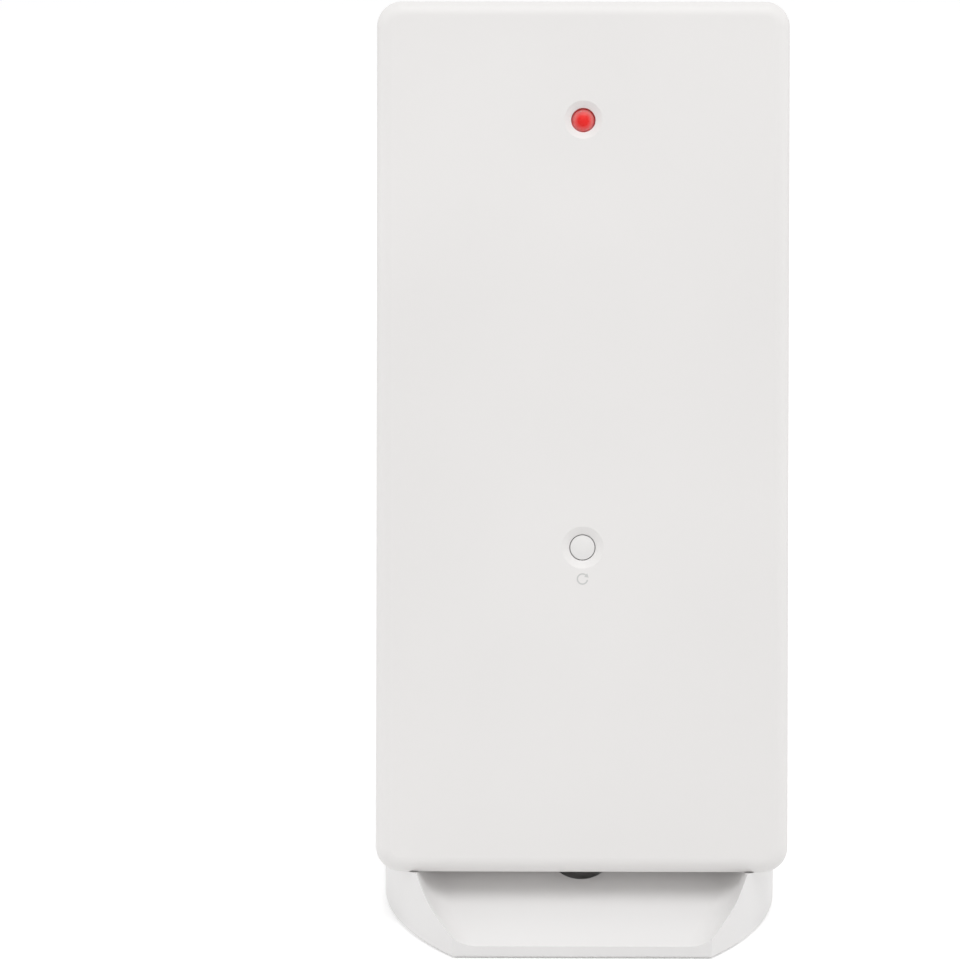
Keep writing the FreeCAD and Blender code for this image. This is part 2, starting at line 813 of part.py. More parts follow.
def spring_stations():
    """Points and directions along a conical spring, a quarter turn apart."""
    start_turn = 0.08
    quarters = int(round(spring_turns * 4))
    fall = (spring_tip_radius - spring_base_radius) / (2 * math.pi * spring_turns)
    climb = spring_pitch / (2 * math.pi)
    stations = [(Vector(spring_base_radius, 0, 0), Vector(0, 0, 1))]
    stations.append((Vector(spring_base_radius, 0, spring_wire), Vector(0, 0, 1)))
    for i in range(quarters + 1):
        turn = i * spring_turns / quarters
        angle = 2 * math.pi * (start_turn + turn)
        radius = spring_base_radius + fall * 2 * math.pi * turn
        height = spring_wire + spring_bend + spring_pitch * turn
        point = Vector(radius * math.cos(angle), radius * math.sin(angle), height)
        heading = Vector(fall * math.cos(angle) - radius * math.sin(angle),
                         fall * math.sin(angle) + radius * math.cos(angle), climb)
        stations.append((point, heading.normalize()))
    last_angle = 2 * math.pi * (2 * start_turn + spring_turns)
    side = Vector(spring_tip_radius * math.cos(last_angle), spring_tip_radius * math.sin(last_angle), 0)
    for height in (spring_height - spring_wire, spring_height):
        stations.append((side + Vector(0, 0, height), Vector(0, 0, 1)))
    return stations


def spring_path():
    """Edges of the spring's middle line: biarcs, with straight ends."""
    stations = spring_stations()
    edges = []
    for i in range(len(stations) - 1):
        start, direction = stations[i]
        end, end_direction = stations[i + 1]
        if i in (0, len(stations) - 2):
            edges.append(Part.LineSegment(start, end).toShape())
            continue
        edges += biarc(start, direction, end, end_direction)
    return edges


def oriented_wire(edges):
    """Wire of the edges in order."""
    return Part.Wire(Part.__sortEdges__(edges))


def least_gap(edges, diameter):
    """Least distance of a wound wire from itself, surface to surface."""
    points = oriented_wire(edges).discretize(Number=240)
    step = sum(edge.Length for edge in edges) / (len(points) - 1)
    apart = int(math.ceil(4 * diameter / step))
    gaps = [(points[i] - points[j]).Length for i in range(len(points)) for j in range(i + apart, len(points))]
    return min(gaps) - diameter


def make_spring():
    """Conical battery spring that stands on z = 0 and narrows upwards."""
    edges = spring_path()
    path = oriented_wire(edges)
    section = Part.Wire(Part.makeCircle(spring_wire / 2, Vector(spring_base_radius, 0, 0), Vector(0, 0, 1)))
    return path.makePipeShell([section], True, False)


def placed_spring(x, z, upwards):
    """Spring on a contact at height z, pointing up or down."""
    spring = make_spring()
    if not upwards:
        spring.rotate(Vector(0, 0, 0), Vector(1, 0, 0), 180)
    spring.translate(Vector(x, contact_middle_depth, z))
    return spring


def contact_tab_places():
    """Middle and lower edge of each contact's soldering tab."""
    top = bay_top - contact_thickness
    return [(-cell_pitch / 2, top), (cell_pitch / 2, top)]


def contact_plate(x0, x1, z0):
    """Flat sheet of a contact against one end of the bay."""
    half_depth = contact_depth / 2
    return box(x0, x1, contact_middle_depth - half_depth, contact_middle_depth + half_depth,
               z0, z0 + contact_thickness)


def contact_bump(x, z, upwards):
    """Pressed bump that meets the battery's positive end."""
    way = Vector(0, 0, 1 if upwards else -1)
    foot = Vector(x, contact_middle_depth, z)
    return Part.makeCone(cell_nub_radius, cell_nub_radius / 2, contact_dimple, foot, way)


def make_positive_contact():
    """Upper left contact: plate, bump and soldering tab."""
    top = bay_top - contact_thickness
    plate = contact_plate(contact_inset - bay_half_width, -contact_inset, top)
    bump = contact_bump(-cell_pitch / 2, top, False)
    return plate.fuse([bump, contact_tab(-cell_pitch / 2, top)]).removeSplitter()


def make_negative_contact():
    """Upper right contact: plate, conical spring and soldering tab."""
    top = bay_top - contact_thickness
    plate = contact_plate(contact_inset, bay_half_width - contact_inset, top)
    plate = plate.fuse(contact_tab(cell_pitch / 2, top)).removeSplitter()
    return plate.fuse(placed_spring(cell_pitch / 2, top, False))


def make_bridge_contact():
    """Lower contact that joins both batteries: one spring, one bump."""
    plate = contact_plate(contact_inset - bay_half_width, bay_half_width - contact_inset, bay_bottom)
    face = bay_bottom + contact_thickness
    plate = plate.fuse(contact_bump(cell_pitch / 2, face, True)).removeSplitter()
    return plate.fuse(placed_spring(-cell_pitch / 2, face, True))


def make_cell(x, nub_up):
    """Dry cell with its nub and its rolled edges, in the bay."""
    shoulder = cell_length - cell_nub_height
    edge = cell_edge_radius
    profile = [
        (0, 0), (cell_radius - edge, 0), (cell_radius, edge), (cell_radius, shoulder - edge),
        (cell_radius - edge, shoulder), (cell_nub_radius, shoulder), (cell_nub_radius, cell_length),
        (0, cell_length),
    ]
    if nub_up:
        base = Vector(x, cell_depth, bay_top - contact_thickness - contact_dimple - cell_length)
        return turned(profile, base, Vector(0, 0, 1))
    base = Vector(x, cell_depth, bay_bottom + contact_thickness + contact_dimple + cell_length)
    return turned(profile, base, Vector(0, 0, -1))


def make_channel_selector():
    """Slide switch on the back of the board, with its slot for the knob."""
    half_slot = knob_side / 2 + knob_step * (knob_positions - 1) / 2 + knob_clearance
    back = board_back + selector_height
    slot = box(-half_slot, half_slot, back - knob_side, back + 1,
               selector_z - knob_side / 2 - knob_clearance, selector_z + knob_side / 2 + knob_clearance)
    return selector_body().cut(slot)


def make_selector_knob():
    """Knob of the channel selector, at its first position."""
    x = -knob_step * (knob_positions - 1) / 2
    back = board_back + selector_height
    half = knob_side / 2
    return box(x - half, x + half, back - knob_side + knob_clearance, back + knob_proud,
               selector_z - half, selector_z + half)


def screw(x, z, head_y, size):
    """Self-tapping screw that points to the front, its head's underside at head_y."""
    radius, length, head_radius, head_height = size
    point = 1.5 * radius
    profile = [
        (0, 0), (0.2 * radius, 0), (radius, point), (radius, length), (head_radius, length),
        (head_radius, length + 0.6 * head_height), (0.6 * head_radius, length + head_height),
        (0, length + head_height),
    ]
    body = turned(profile, Vector(x, head_y - length, z), Vector(0, 1, 0))
    top = head_y + head_height
    depth = min(recess_depth, 0.7 * head_height)
    half = min(recess_width, head_radius / 3) / 2
    reach = 0.6 * head_radius
    cross = [box(x - reach, x + reach, top - depth, top + 1, z - half, z + half)]
    cross.append(box(x - half, x + half, top - depth, top + 1, z - reach, z + reach))
    return body.cut(cross)


def make_housing_screws():
    """Four screws that hold the two housing halves together."""
    size = (screw_radius, screw_length, screw_head_radius, screw_head_height)
    seat = body_depth - screw_head_depth
    return Part.makeCompound([screw(x, z, seat, size) for x, z in boss_places()])


def make_board_screws():
    """Four screws that hold the circuit board on the cover's posts."""
    size = (board_screw_radius, board_screw_length, board_screw_head_radius, board_screw_head_height)
    return Part.makeCompound([screw(x, z, board_back, size) for x, z in board_screw_places()])


def place_unit(shape):
    """Lean an upright shape back and set it where it stands on the foot."""
    placed = shape.copy()
    placed.rotate(Vector(0, 0, 0), Vector(1, 0, 0), -lean_deg)
    placed.translate(Vector(0, -foot_middle, edge_rise))
    return placed


def foot_outline(inset):
    """Plan of the foot drawn in by an inset, with long rounded front corners."""
    half = foot_half_width - inset
    front = foot_front + inset - foot_middle
    rear = foot_rear - inset - foot_middle
    radius = foot_corner_radius - inset
    arc_start = front_arc_start()
    centre = Vector(half - radius, arc_start, 0)
    corner_x = centre.x + math.sqrt(radius ** 2 - (arc_start - front) ** 2)
    half_angle = math.asin((arc_start - front) / radius) / 2
    middle = centre + Vector(radius * math.cos(half_angle), -radius * math.sin(half_angle), 0)
    rear_radius = foot_rear_radius - inset
    diagonal = rear_radius * (1 - math.sqrt(0.5))
    right = [Vector(corner_x, front, 0), middle, Vector(half, arc_start, 0)]
    rear_side = Vector(half, rear - rear_radius, 0)
    rear_middle = Vector(half - diagonal, rear - diagonal, 0)
    rear_end = Vector(half - rear_radius, rear, 0)
    mirrored = [Vector(-p.x, p.y, 0) for p in (*right, rear_side, rear_middle, rear_end)]
    left_front, left_middle, left_start, left_side, left_rear_middle, left_rear_end = mirrored
    edges = [
        Part.Arc(*right).toShape(),
        Part.LineSegment(right[2], rear_side).toShape(),
        Part.Arc(rear_side, rear_middle, rear_end).toShape(),
        Part.LineSegment(rear_end, left_rear_end).toShape(),
        Part.Arc(left_rear_end, left_rear_middle, left_side).toShape(),
        Part.LineSegment(left_side, left_start).toShape(),
        Part.Arc(left_start, left_middle, left_front).toShape(),
        Part.LineSegment(left_front, right[0]).toShape(),
    ]
    return Part.Wire(edges)


def front_arc_start():
    """Where the foot's straight sides give way to its rounded front corners."""
    return foot_front - foot_middle + math.sqrt(foot_corner_radius ** 2 - foot_arc_drop() ** 2)


def foot_arc_drop():
    """How far a front corner arc's end lies from its middle, across the foot."""
    return foot_corner_radius - (foot_half_width - foot_nose_half_width())


def foot_nose_half_width():
    """Half the width of the foot's straight front edge."""
    return mouth_sill_half_width + foot_edge_radius + foot_nose_margin


def foot_prism(inset, z0, z1):
    """The foot's plan, drawn in by an inset, between two heights."""
    prism = Part.Face(foot_outline(inset)).extrude(Vector(0, 0, z1 - z0))
    prism.translate(Vector(0, 0, z0))
    return prism


def mouth_cutter():
    """Front opening of the foot: wide above, narrow at its sill, with the ramp for its floor.

    Its slanted sides run on below the ramp, which trims them, and meet it with a rounding.
    """
    front = 2 * foot_front - foot_middle
    depth = front_arc_start() - front
    low_splay = math.tan(math.radians(mouth_low_splay_deg))
    high_splay = math.tan(math.radians(mouth_high_splay_deg))
    shoulder = mouth_sill_half_width + low_splay * (mouth_shoulder_height - foot_floor)
    drop = mouth_shoulder_height
    half_points = [
        (shoulder - low_splay * (mouth_shoulder_height + drop), -drop, 0.0),
        (shoulder, mouth_shoulder_height, mouth_shoulder_radius),
        (shoulder + high_splay * (foot_block_height - mouth_shoulder_height), foot_block_height, 0.0),
    ]
    corners = [(Vector(x, front, z), radius) for x, z, radius in half_points]
    corners += [(Vector(-x, front, z), radius) for x, z, radius in reversed(half_points)]
    opening = Part.Face(closed_outline(corners)).extrude(Vector(0, depth, 0)).cut(under_ramp())
    sides = [edge for edge in opening.Edges if lies_on_ramp(edge) and edge.BoundBox.YLength > 1e-3]
    return opening.makeFillet(ramp_side_radius, sides)


def lies_on_ramp(edge):
    """True for an edge of which both ends are on the ramp's plane."""
    return all(abs(vertex.Z - ramp_rise(vertex.Y)) < 1e-6 for vertex in edge.Vertexes)


def make_stand():
    """Foot: ramp, seat under the unit, cheeks beside it, screw holes, cored underside and back plate."""
    foot = foot_prism(0, 0, foot_block_height)
    low_edges = [edge for edge in foot.Edges if edge.BoundBox.ZMax < 1e-6]
    foot = foot.makeChamfer(foot_edge_radius, low_edges)
    above = box(-body_width, body_width, -body_height, body_depth, cradle_rise, body_height)
    ahead = box(-body_width, body_width, -body_height, front_edge_radius, 0, body_height)
    behind = box(-body_width, body_width, body_depth - back_edge_radius, body_depth, 0, body_height)
    upright = [above, ahead, behind, envelope_for_seat()]
    foot = foot.cut([place_unit(shape) for shape in upright])
    foot = foot.cut([mouth_cutter(), deck_cutter(), rear_cutter()])
    foot = foot.fuse(make_back_plate())
    return foot.cut(foot_holes() + foot_cores()).removeSplitter()


def foot_holes():
    """Screw holes through the deck and the seat, the front one under a well for the screw's head."""
    front = foot_hole_front_y - foot_middle
    holes = []
    for i in range(2):
        y = front + i * foot_hole_spacing
        holes.append(Part.makeCylinder(foot_hole_radius, foot_floor + 2, Vector(0, y, -1)))
    holes.append(Part.makeCylinder(screw_well_radius, edge_rise, Vector(0, front, foot_floor)))
    return holes


def side_profile(points, half):
    """Prism across the foot from points seen from its side, each a depth and a rise."""
    corners = [Vector(-half, y, z) for y, z in points]
    return Part.Face(Part.makePolygon(corners + corners[:1])).extrude(Vector(2 * half, 0, 0))


def ramp_rise(y):
    """Height of the ramp at a depth of the foot."""
    return foot_floor + (y - foot_front + foot_middle) * math.tan(math.radians(ramp_deg))


def under_ramp():
    """Everything below the ramp's plane, from ahead of the foot to its rear."""
    ahead, behind = 3 * foot_front - foot_middle, foot_rear
    return side_profile([(ahead, -body_depth), (behind, -body_depth), (behind, ramp_rise(behind)),
                         (ahead, ramp_rise(ahead))], body_width)


def deck_cutter():
    """Room above the deck behind the unit."""
    back = body_depth * math.cos(lean) - foot_middle
    room = foot_prism(foot_wall, foot_floor, foot_block_height)
    return room.common(box(-body_width, body_width, back, body_height, 0, foot_block_height))


def foot_cores():
    """Hollows in the underside, on both sides of the spine that holds the front screw hole."""
    front = foot_front - foot_middle + foot_wall
    back = body_depth * math.cos(lean) - foot_middle - foot_wall
    middle = (front + back) / 2
    spine = screw_well_radius + core_wall
    room = foot_prism(foot_wall, -1, core_depth)
    for roof in (ramp_rise, seat_height):
        profile = [(front, -2), (back, -2), (back, roof(back) - core_wall), (front, roof(front) - core_wall)]
        room = room.common(side_profile(profile, body_width))
    rib = core_rib_width / 2
    cores = []
    for side in (-1, 1):
        x0, x1 = sorted((side * spine, side * body_width))
        for y0, y1 in ((front, middle - rib), (middle + rib, back)):
            cores.append(room.common(box(x0, x1, y0, y1, -1, core_depth)))
    return cores


def seat_height(y):
    """Rise of the unit's underside above the table at a depth of the foot."""
    return edge_rise - (y + foot_middle) * math.tan(lean)


def rear_cutter():
    """Takes the walls behind the unit down to a low rim."""
    front = body_depth * math.cos(lean) - foot_middle
    return box(-body_width, body_width, front, body_height, seat_rise, body_height)


def envelope_for_seat():
    """Room for the unit: exact where it sits, with clearance round its rounded edges."""
    grown = envelope(seat_clearance)
    seat = box(-body_width, body_width, -1, body_depth + 1, -1, 0)
    return grown.cut(seat)


def make_gusset(x, below, plate_back):
    """Three-cornered rib that holds the plate from behind."""
    side = x - gusset_thickness / 2
    corners = [
        Vector(side, plate_back - 0.1, below),
        Vector(side, plate_back + gusset_reach - below * math.tan(lean), below),
        Vector(side, plate_back - 0.1, gusset_height),
    ]
    return Part.Face(Part.makePolygon(corners + corners[:1])).extrude(Vector(gusset_thickness, 0, 0))


def make_back_plate():
    """Upright plate of the foot that the unit slides down over, with two gussets behind it."""
    half = plate_width / 2
    plate_back = plate_front + plate_thickness
    below = -edge_rise - foot_wall
    plate = box(-half, half, plate_front, plate_back, below, plate_height)
    top_edges = edges_where(plate, lambda p: p.z > plate_height - 1e-6)
    plate = plate.makeChamfer(plate_thickness / 4, top_edges)
    gussets = [make_gusset(side * gusset_x, below, plate_back) for side in (-1, 1)]
    upright = place_unit(plate.fuse(gussets))
    above_table = box(-body_width, body_width, -body_height, body_height, foot_floor / 2, body_height)
    return upright.common(above_table)


def build():
    """Make every sub-part, in the finished frame."""
    unit_parts = {
        "front_cover": make_front_cover(),
        "rear_housing": make_rear_housing(),
        "battery_door": make_battery_door(),
        "reset_button": make_reset_button(),
        "switch_plunger": make_switch_plunger(),
        "reset_switch": make_momentary_switch(),
        "status_led": make_status_light(),
        "led_leads": make_light_leads(),
        "led_spacer": make_light_spacer(),
        "main_board": make_main_board(),
        "controller_chip": make_controller_chip(),
        "clock_crystal": make_clock_crystal(),
        "supply_capacitor": make_capacitor(),
        "radio_board": make_radio_board(),
        "radio_resonator": make_radio_resonator(),
        "antenna_wire": make_antenna_wire(),
        "temperature_probe": make_temperature_probe(),
        "positive_contact": make_positive_contact(),
        "negative_contact": make_negative_contact(),
        "bridge_contact": make_bridge_contact(),
        "battery_left": make_cell(-cell_pitch / 2, True),
        "battery_right": make_cell(cell_pitch / 2, False),
        "channel_selector": make_channel_selector(),
        "selector_knob": make_selector_knob(),
        "housing_screws": make_housing_screws(),
        "board_screws": make_board_screws(),
    }
    parts = {name: place_unit(shape) for name, shape in unit_parts.items()}
    parts["stand"] = make_stand()
    return parts


parts = build()
os.makedirs("parts", exist_ok=True)
for name, shape in parts.items():
    shape.exportStep(f"parts/{name}.step")
print("spring's least gap to itself, mm:", round(least_gap(spring_path(), spring_wire), 3))
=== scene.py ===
"""Finish, small printed and soldered pieces and lit stage of a wireless temperature sensor.

The file is laid out as an add-on. Property groups hold the sizes and colours that a
user would change, each operator finishes one piece or one group of like pieces, and
the panel lists them. Lengths are in metres. The packed frame is the frame of the
packed part, in which it stands on the floor. The unit frame is the sensor unit's own
upright frame, with x to the right, depth from the front face to the back and height
from the underside; it leans back in the packed frame.
"""
import json
import math

import bmesh
import bpy
import numpy as np
from bpy.props import FloatProperty, FloatVectorProperty, PointerProperty
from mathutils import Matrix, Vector


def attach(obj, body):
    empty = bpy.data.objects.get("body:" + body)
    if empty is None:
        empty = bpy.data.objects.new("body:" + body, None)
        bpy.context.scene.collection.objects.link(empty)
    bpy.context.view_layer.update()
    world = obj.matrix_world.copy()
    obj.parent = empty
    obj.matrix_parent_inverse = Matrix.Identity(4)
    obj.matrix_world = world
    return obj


bl_info = {
    "name": "Temperature Sensor Finish",
    "version": (1, 0, 0),
    "blender": (4, 5, 0),
    "location": "View3D > Sidebar > Sensor",
    "description": "Finishes the pieces of a wireless temperature sensor and sets its stage",
    "category": "Object",
}

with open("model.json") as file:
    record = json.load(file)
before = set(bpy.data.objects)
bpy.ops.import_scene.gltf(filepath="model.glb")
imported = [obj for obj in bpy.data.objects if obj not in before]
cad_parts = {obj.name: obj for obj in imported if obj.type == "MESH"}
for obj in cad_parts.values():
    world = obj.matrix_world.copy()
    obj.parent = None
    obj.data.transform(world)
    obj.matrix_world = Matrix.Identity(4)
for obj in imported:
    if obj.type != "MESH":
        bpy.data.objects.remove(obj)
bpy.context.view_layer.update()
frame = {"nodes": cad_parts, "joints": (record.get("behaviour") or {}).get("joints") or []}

MM = 0.001
SAME_POINT = 1e-8
JOINT_AXES = {joint["name"]: Vector(joint["axis"]).normalized() for joint in frame["joints"]}
UP = np.array(JOINT_AXES["unit_lift"])
INWARD = np.array(JOINT_AXES["reset_press"])
RIGHT = np.array((1.0, 0.0, 0.0))
LEAN = math.atan2(UP[1], UP[2])


def vertices_of(node):
    """A CAD node's vertices at rest, one row each."""
    mesh = frame["nodes"][node].data
    flat = np.empty(len(mesh.vertices) * 3, np.float32)
    mesh.vertices.foreach_get("co", flat)
    return flat.reshape(-1, 3).astype(float)


UNIT_AXES = np.array((RIGHT, INWARD, UP))
# On the middle plane, at the front cover's face and underside
UNIT_ORIGIN = (vertices_of("front_cover") @ UNIT_AXES.T).min(0) @ np.array((0 * RIGHT, INWARD, UP))


def to_unit(points):
    """Packed-frame points as x, depth and height of the upright sensor unit."""
    return (np.asarray(points) - UNIT_ORIGIN) @ UNIT_AXES.T


def from_unit(points):
    """Points of the upright sensor unit in the packed frame."""
    return np.asarray(points) @ UNIT_AXES + UNIT_ORIGIN


def unit_box(node):
    """Lowest and highest x, depth and height of a CAD node."""
    points = to_unit(vertices_of(node))
    return points.min(0), points.max(0)


def unit_middle(node):
    """Middle of a CAD node's box in the unit frame."""
    low, high = unit_box(node)
    return (low + high) / 2


# Meshes from worked-out points

def tube_faces(rings, count):
    """Quads between neighbouring rings of points, and one face over each end ring."""
    ring, point = np.meshgrid(np.arange(rings - 1), np.arange(count), indexing="ij")
    start, after = ring * count, (ring + 1) * count
    beside = (point + 1) % count
    corners = (start + point, start + beside, after + beside, after + point)
    last = (rings - 1) * count
    ends = [list(range(count))[::-1], list(range(last, last + count))]
    return np.stack(corners, -1).reshape(-1, 4).tolist() + ends


def carried(profile, path, across, along):
    """A closed profile carried along an open path, with both ends capped.

    Point (i, j) is path[i] + profile[j, 0] * across[i] + profile[j, 1] * along[i].
    """
    points = (path[:, None, :] + profile[None, :, :1] * across[:, None, :]
              + profile[None, :, 1:] * along[:, None, :])
    return points.reshape(-1, 3), tube_faces(len(path), len(profile))


def turned(profile, base, axis, side, count):
    """A profile of (radius, height) pairs turned about an axis through base, with both ends capped.

    Point (i, j) is base + height[i] * axis + radius[i] * (cos a[j] * side + sin a[j] * other).
    """
    angle = np.arange(count) * 2 * math.pi / count
    other = np.cross(axis, side)
    ring = np.cos(angle)[:, None] * side + np.sin(angle)[:, None] * other
    points = base + profile[:, None, 1:] * axis + profile[:, None, :1] * ring[None, :, :]
    return points.reshape(-1, 3), tube_faces(len(profile), count)


def block(middle, half):
    """A box with its edges along the unit frame, from its middle and half sizes."""
    profile = np.array(((-1, -1), (1, -1), (1, 1), (-1, 1))) * (half[0], half[2])
    ends = np.array((middle - (0, half[1], 0), middle + (0, half[1], 0)))
    return carried(profile, ends, np.tile((1.0, 0, 0), (2, 1)), np.tile((0, 0, 1.0), (2, 1)))


def merged(shapes):
    """Several (points, faces) shapes as one."""
    all_points, all_faces, start = [], [], 0
    for points, faces in shapes:
        all_points.append(points)
        all_faces += [[start + corner for corner in face] for face in faces]
        start += len(points)
    return np.concatenate(all_points), all_faces


def outward(mesh):
    """Turn the mesh's faces so that its shells point outwards."""
    work = bmesh.new()
    work.from_mesh(mesh)
    bmesh.ops.remove_doubles(work, verts=work.verts, dist=SAME_POINT)
    bmesh.ops.recalc_face_normals(work, faces=work.faces)
    work.to_mesh(mesh)
    work.free()


def make_piece(name, shapes, body, material, smooth_deg=35.0):
    """A new piece made of unit-frame shapes, which rides on a body and has a finish."""
    points, faces = merged(shapes)
    mesh = bpy.data.meshes.new(name)
    mesh.from_pydata(from_unit(points).tolist(), [], faces)
    outward(mesh)
    mesh.shade_smooth()
    mesh.set_sharp_from_angle(angle=math.radians(smooth_deg))
    mesh.materials.append(material)
    piece = bpy.data.objects.new(name, mesh)
    bpy.context.scene.collection.objects.link(piece)
    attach(piece, body)
    return piece


def dress(node, material):
    """Give a CAD node its finish."""
    mesh = frame["nodes"][node].data
    mesh.materials.clear()
    mesh.materials.append(material)


# Shader building

def add_node(tree, kind, inputs=None, **settings):
    """A node with its settings, and its inputs linked from sockets or set to values."""
    node = tree.nodes.new(kind)
    for name, value in settings.items():
        setattr(node, name, value)
    for name, value in (inputs or {}).items():
        feed(tree, node.inputs[name], value)
    return node


def feed(tree, socket, value):
    """Link a socket to another, or set its own value."""
    if isinstance(value, bpy.types.NodeSocket):
        tree.links.new(value, socket)
    else:
        socket.default_value = value


def math_node(tree, operation, first, second=0.0, third=0.0):
    """Result of one arithmetic step."""
    node = tree.nodes.new("ShaderNodeMath")
    node.operation = operation
    for socket, value in zip(node.inputs, (first, second, third)):
        feed(tree, socket, value)
    return node.outputs[0]


# A Mix node has sockets of like names for each kind of value; these belong to its colour mode
MIX_FACTOR, MIX_FIRST, MIX_SECOND, MIX_RESULT = 0, 6, 7, 2


def mix_colour(tree, factor, first, second):
    """Colour between two, by a factor."""
    node = tree.nodes.new("ShaderNodeMix")
    node.data_type = "RGBA"
    feed(tree, node.inputs[MIX_FACTOR], factor)
    feed(tree, node.inputs[MIX_FIRST], first)
    feed(tree, node.inputs[MIX_SECOND], second)
    return node.outputs[MIX_RESULT]


def shaded(tree, colour, value, saturation=1.0):
    """A colour made darker by a factor, and fuller where the saturation is above 1."""
    node = add_node(tree, "ShaderNodeHueSaturation", {
        "Value": value, "Saturation": saturation, "Color": colour})
    return node.outputs[0]


def spread(tree, value, low, high, to_low, to_high):
    """A value carried from one range to another and held inside it."""
    node = add_node(tree, "ShaderNodeMapRange", {
        "Value": value, "From Min": low, "From Max": high, "To Min": to_low, "To Max": to_high})
    return node.outputs[0]


def noise(tree, place, scale, detail, roughness):
    """Noise value at a place, with a number of grains per metre."""
    node = add_node(tree, "ShaderNodeTexNoise", {
        "Vector": place, "Scale": scale, "Detail": detail, "Roughness": roughness})
    return node.outputs[0]


def new_group(name, inputs, outputs):
    """An empty shader node group with named sockets: its tree, inputs and output node."""
    tree = bpy.data.node_groups.new(name, "ShaderNodeTree")
    for socket_name, (kind, default) in inputs.items():
        socket = tree.interface.new_socket(socket_name, in_out="INPUT", socket_type=kind)
        if default is not None:
            socket.default_value = default
    for socket_name, kind in outputs.items():
        tree.interface.new_socket(socket_name, in_out="OUTPUT", socket_type=kind)
    source = tree.nodes.new("NodeGroupInput")
    return tree, source.outputs, tree.nodes.new("NodeGroupOutput")


def use_group(tree, group, inputs):
    """The outputs of a node group placed in a material with its own values."""
    node = tree.nodes.new("ShaderNodeGroup")
    node.node_tree = group
    for name, value in inputs.items():
        feed(tree, node.inputs[name], value)
    return node.outputs


def rgba(colour):
    """A colour with full opacity."""
    return (*colour, 1.0)


VECTOR = "NodeSocketVector"
VALUE = "NodeSocketFloat"
COLOUR = "NodeSocketColor"


def moulded_skin_group():
    """Moulded plastic: spark-eroded grain, faint flow shades, rubbed edges and dust in corners."""
    flow_scale, flow_shade = 28.0, 0.975
    # How far the painted corner shade reaches, and how much darker and fuller it makes the colour
    corner_reach, corner_darkening, corner_fullness = 0.0025, 0.62, 1.3
    grain_change, rub_change = 0.03, 0.12
    tree, given, out = new_group("Moulded skin", {
        "Place": (VECTOR, None), "Colour": (COLOUR, (0.8, 0.8, 0.8, 1)), "Grains": (VALUE, 3500.0),
        "Roughness": (VALUE, 0.5), "Edge": (VALUE, 0.0004), "Corner Shade": (VALUE, 0.02),
    }, {"Colour": COLOUR, "Roughness": VALUE, "Height": VALUE})
    grain = noise(tree, given["Place"], given["Grains"], 3.0, 0.6)
    flow = noise(tree, given["Place"], flow_scale, 2.0, 0.4)
    rub = edge_mask(tree, given["Edge"])
    # Painted shade: the colour turns darker and fuller in corners and creases, where the ambient
    # occlusion node finds other surfaces close by
    corner = add_node(tree, "ShaderNodeAmbientOcclusion", {"Distance": corner_reach}, samples=6)
    painted_corner_shade = math_node(tree, "SUBTRACT", 1.0, corner.outputs["AO"])
    painted_corner_shade = math_node(tree, "MULTIPLY", painted_corner_shade, given["Corner Shade"])
    flowed = spread(tree, flow, 0.35, 0.65, 0.0, 1.0)
    toned = mix_colour(tree, flowed, given["Colour"], shaded(tree, given["Colour"], flow_shade))
    toned = mix_colour(tree, painted_corner_shade, toned, shaded(tree, given["Colour"], corner_darkening, corner_fullness))
    speck = spread(tree, grain, 0.3, 0.7, -grain_change, grain_change)
    rough = math_node(tree, "ADD", given["Roughness"], speck)
    rough = math_node(tree, "SUBTRACT", rough, math_node(tree, "MULTIPLY", rub, rub_change))
    feed(tree, out.inputs["Colour"], toned)
    feed(tree, out.inputs["Roughness"], rough)
    feed(tree, out.inputs["Height"], grain)
    return tree


def edge_mask(tree, radius):
    """Mask that is 1 on edges: how far the rounded normal leans from the true one."""
    on_flats, on_edges = 0.995, 0.9
    rounded = add_node(tree, "ShaderNodeBevel", {"Radius": radius}, samples=4)
    true = add_node(tree, "ShaderNodeNewGeometry")
    match = add_node(tree, "ShaderNodeVectorMath", operation="DOT_PRODUCT")
    feed(tree, match.inputs[0], rounded.outputs[0])
    feed(tree, match.inputs[1], true.outputs["Normal"])
    return spread(tree, match.outputs["Value"], on_flats, on_edges, 0.0, 1.0)


def plated_metal_group():
    """Plated metal: drawn streaks and small, duller stains."""
    stain_scale, stain_shade, stain_change, streak_change = 700.0, 0.72, 0.25, 0.07
    tree, given, out = new_group("Plated metal", {
        "Place": (VECTOR, None), "Colour": (COLOUR, (0.7, 0.7, 0.7, 1)), "Roughness": (VALUE, 0.3),
        "Streaks": (VALUE, 6000.0), "Stretch": (VECTOR, (1.0, 1.0, 0.05)),
    }, {"Colour": COLOUR, "Roughness": VALUE, "Height": VALUE})
    drawn = add_node(tree, "ShaderNodeVectorMath", operation="MULTIPLY")
    feed(tree, drawn.inputs[0], given["Place"])
    feed(tree, drawn.inputs[1], given["Stretch"])
    streak = noise(tree, drawn.outputs[0], given["Streaks"], 2.0, 0.6)
    stain = noise(tree, given["Place"], stain_scale, 4.0, 0.65)
    stained = spread(tree, stain, 0.5, 0.75, 0.0, 0.5)
    dull = shaded(tree, given["Colour"], stain_shade)
    feed(tree, out.inputs["Colour"], mix_colour(tree, stained, given["Colour"], dull))
    streaked = spread(tree, streak, 0.3, 0.7, -streak_change, streak_change)
    rough = math_node(tree, "ADD", given["Roughness"], streaked)
    rough = math_node(tree, "ADD", rough, math_node(tree, "MULTIPLY", stained, stain_change))
    feed(tree, out.inputs["Roughness"], rough)
    feed(tree, out.inputs["Height"], streak)
    return tree


GROUPS = {}


def shared(make):
    """A shader node group, built the first time that it is asked for."""
    if make not in GROUPS:
        GROUPS[make] = make()
    return GROUPS[make]


def new_material(name, **constants):
    """A material with its shader's own constants set: itself, its tree and its shader."""
    material = bpy.data.materials.new(name)
    material.use_nodes = True
    tree = material.node_tree
    shader = tree.nodes["Principled BSDF"]
    for socket, value in constants.items():
        shader.inputs[socket].default_value = value
    return material, tree, shader


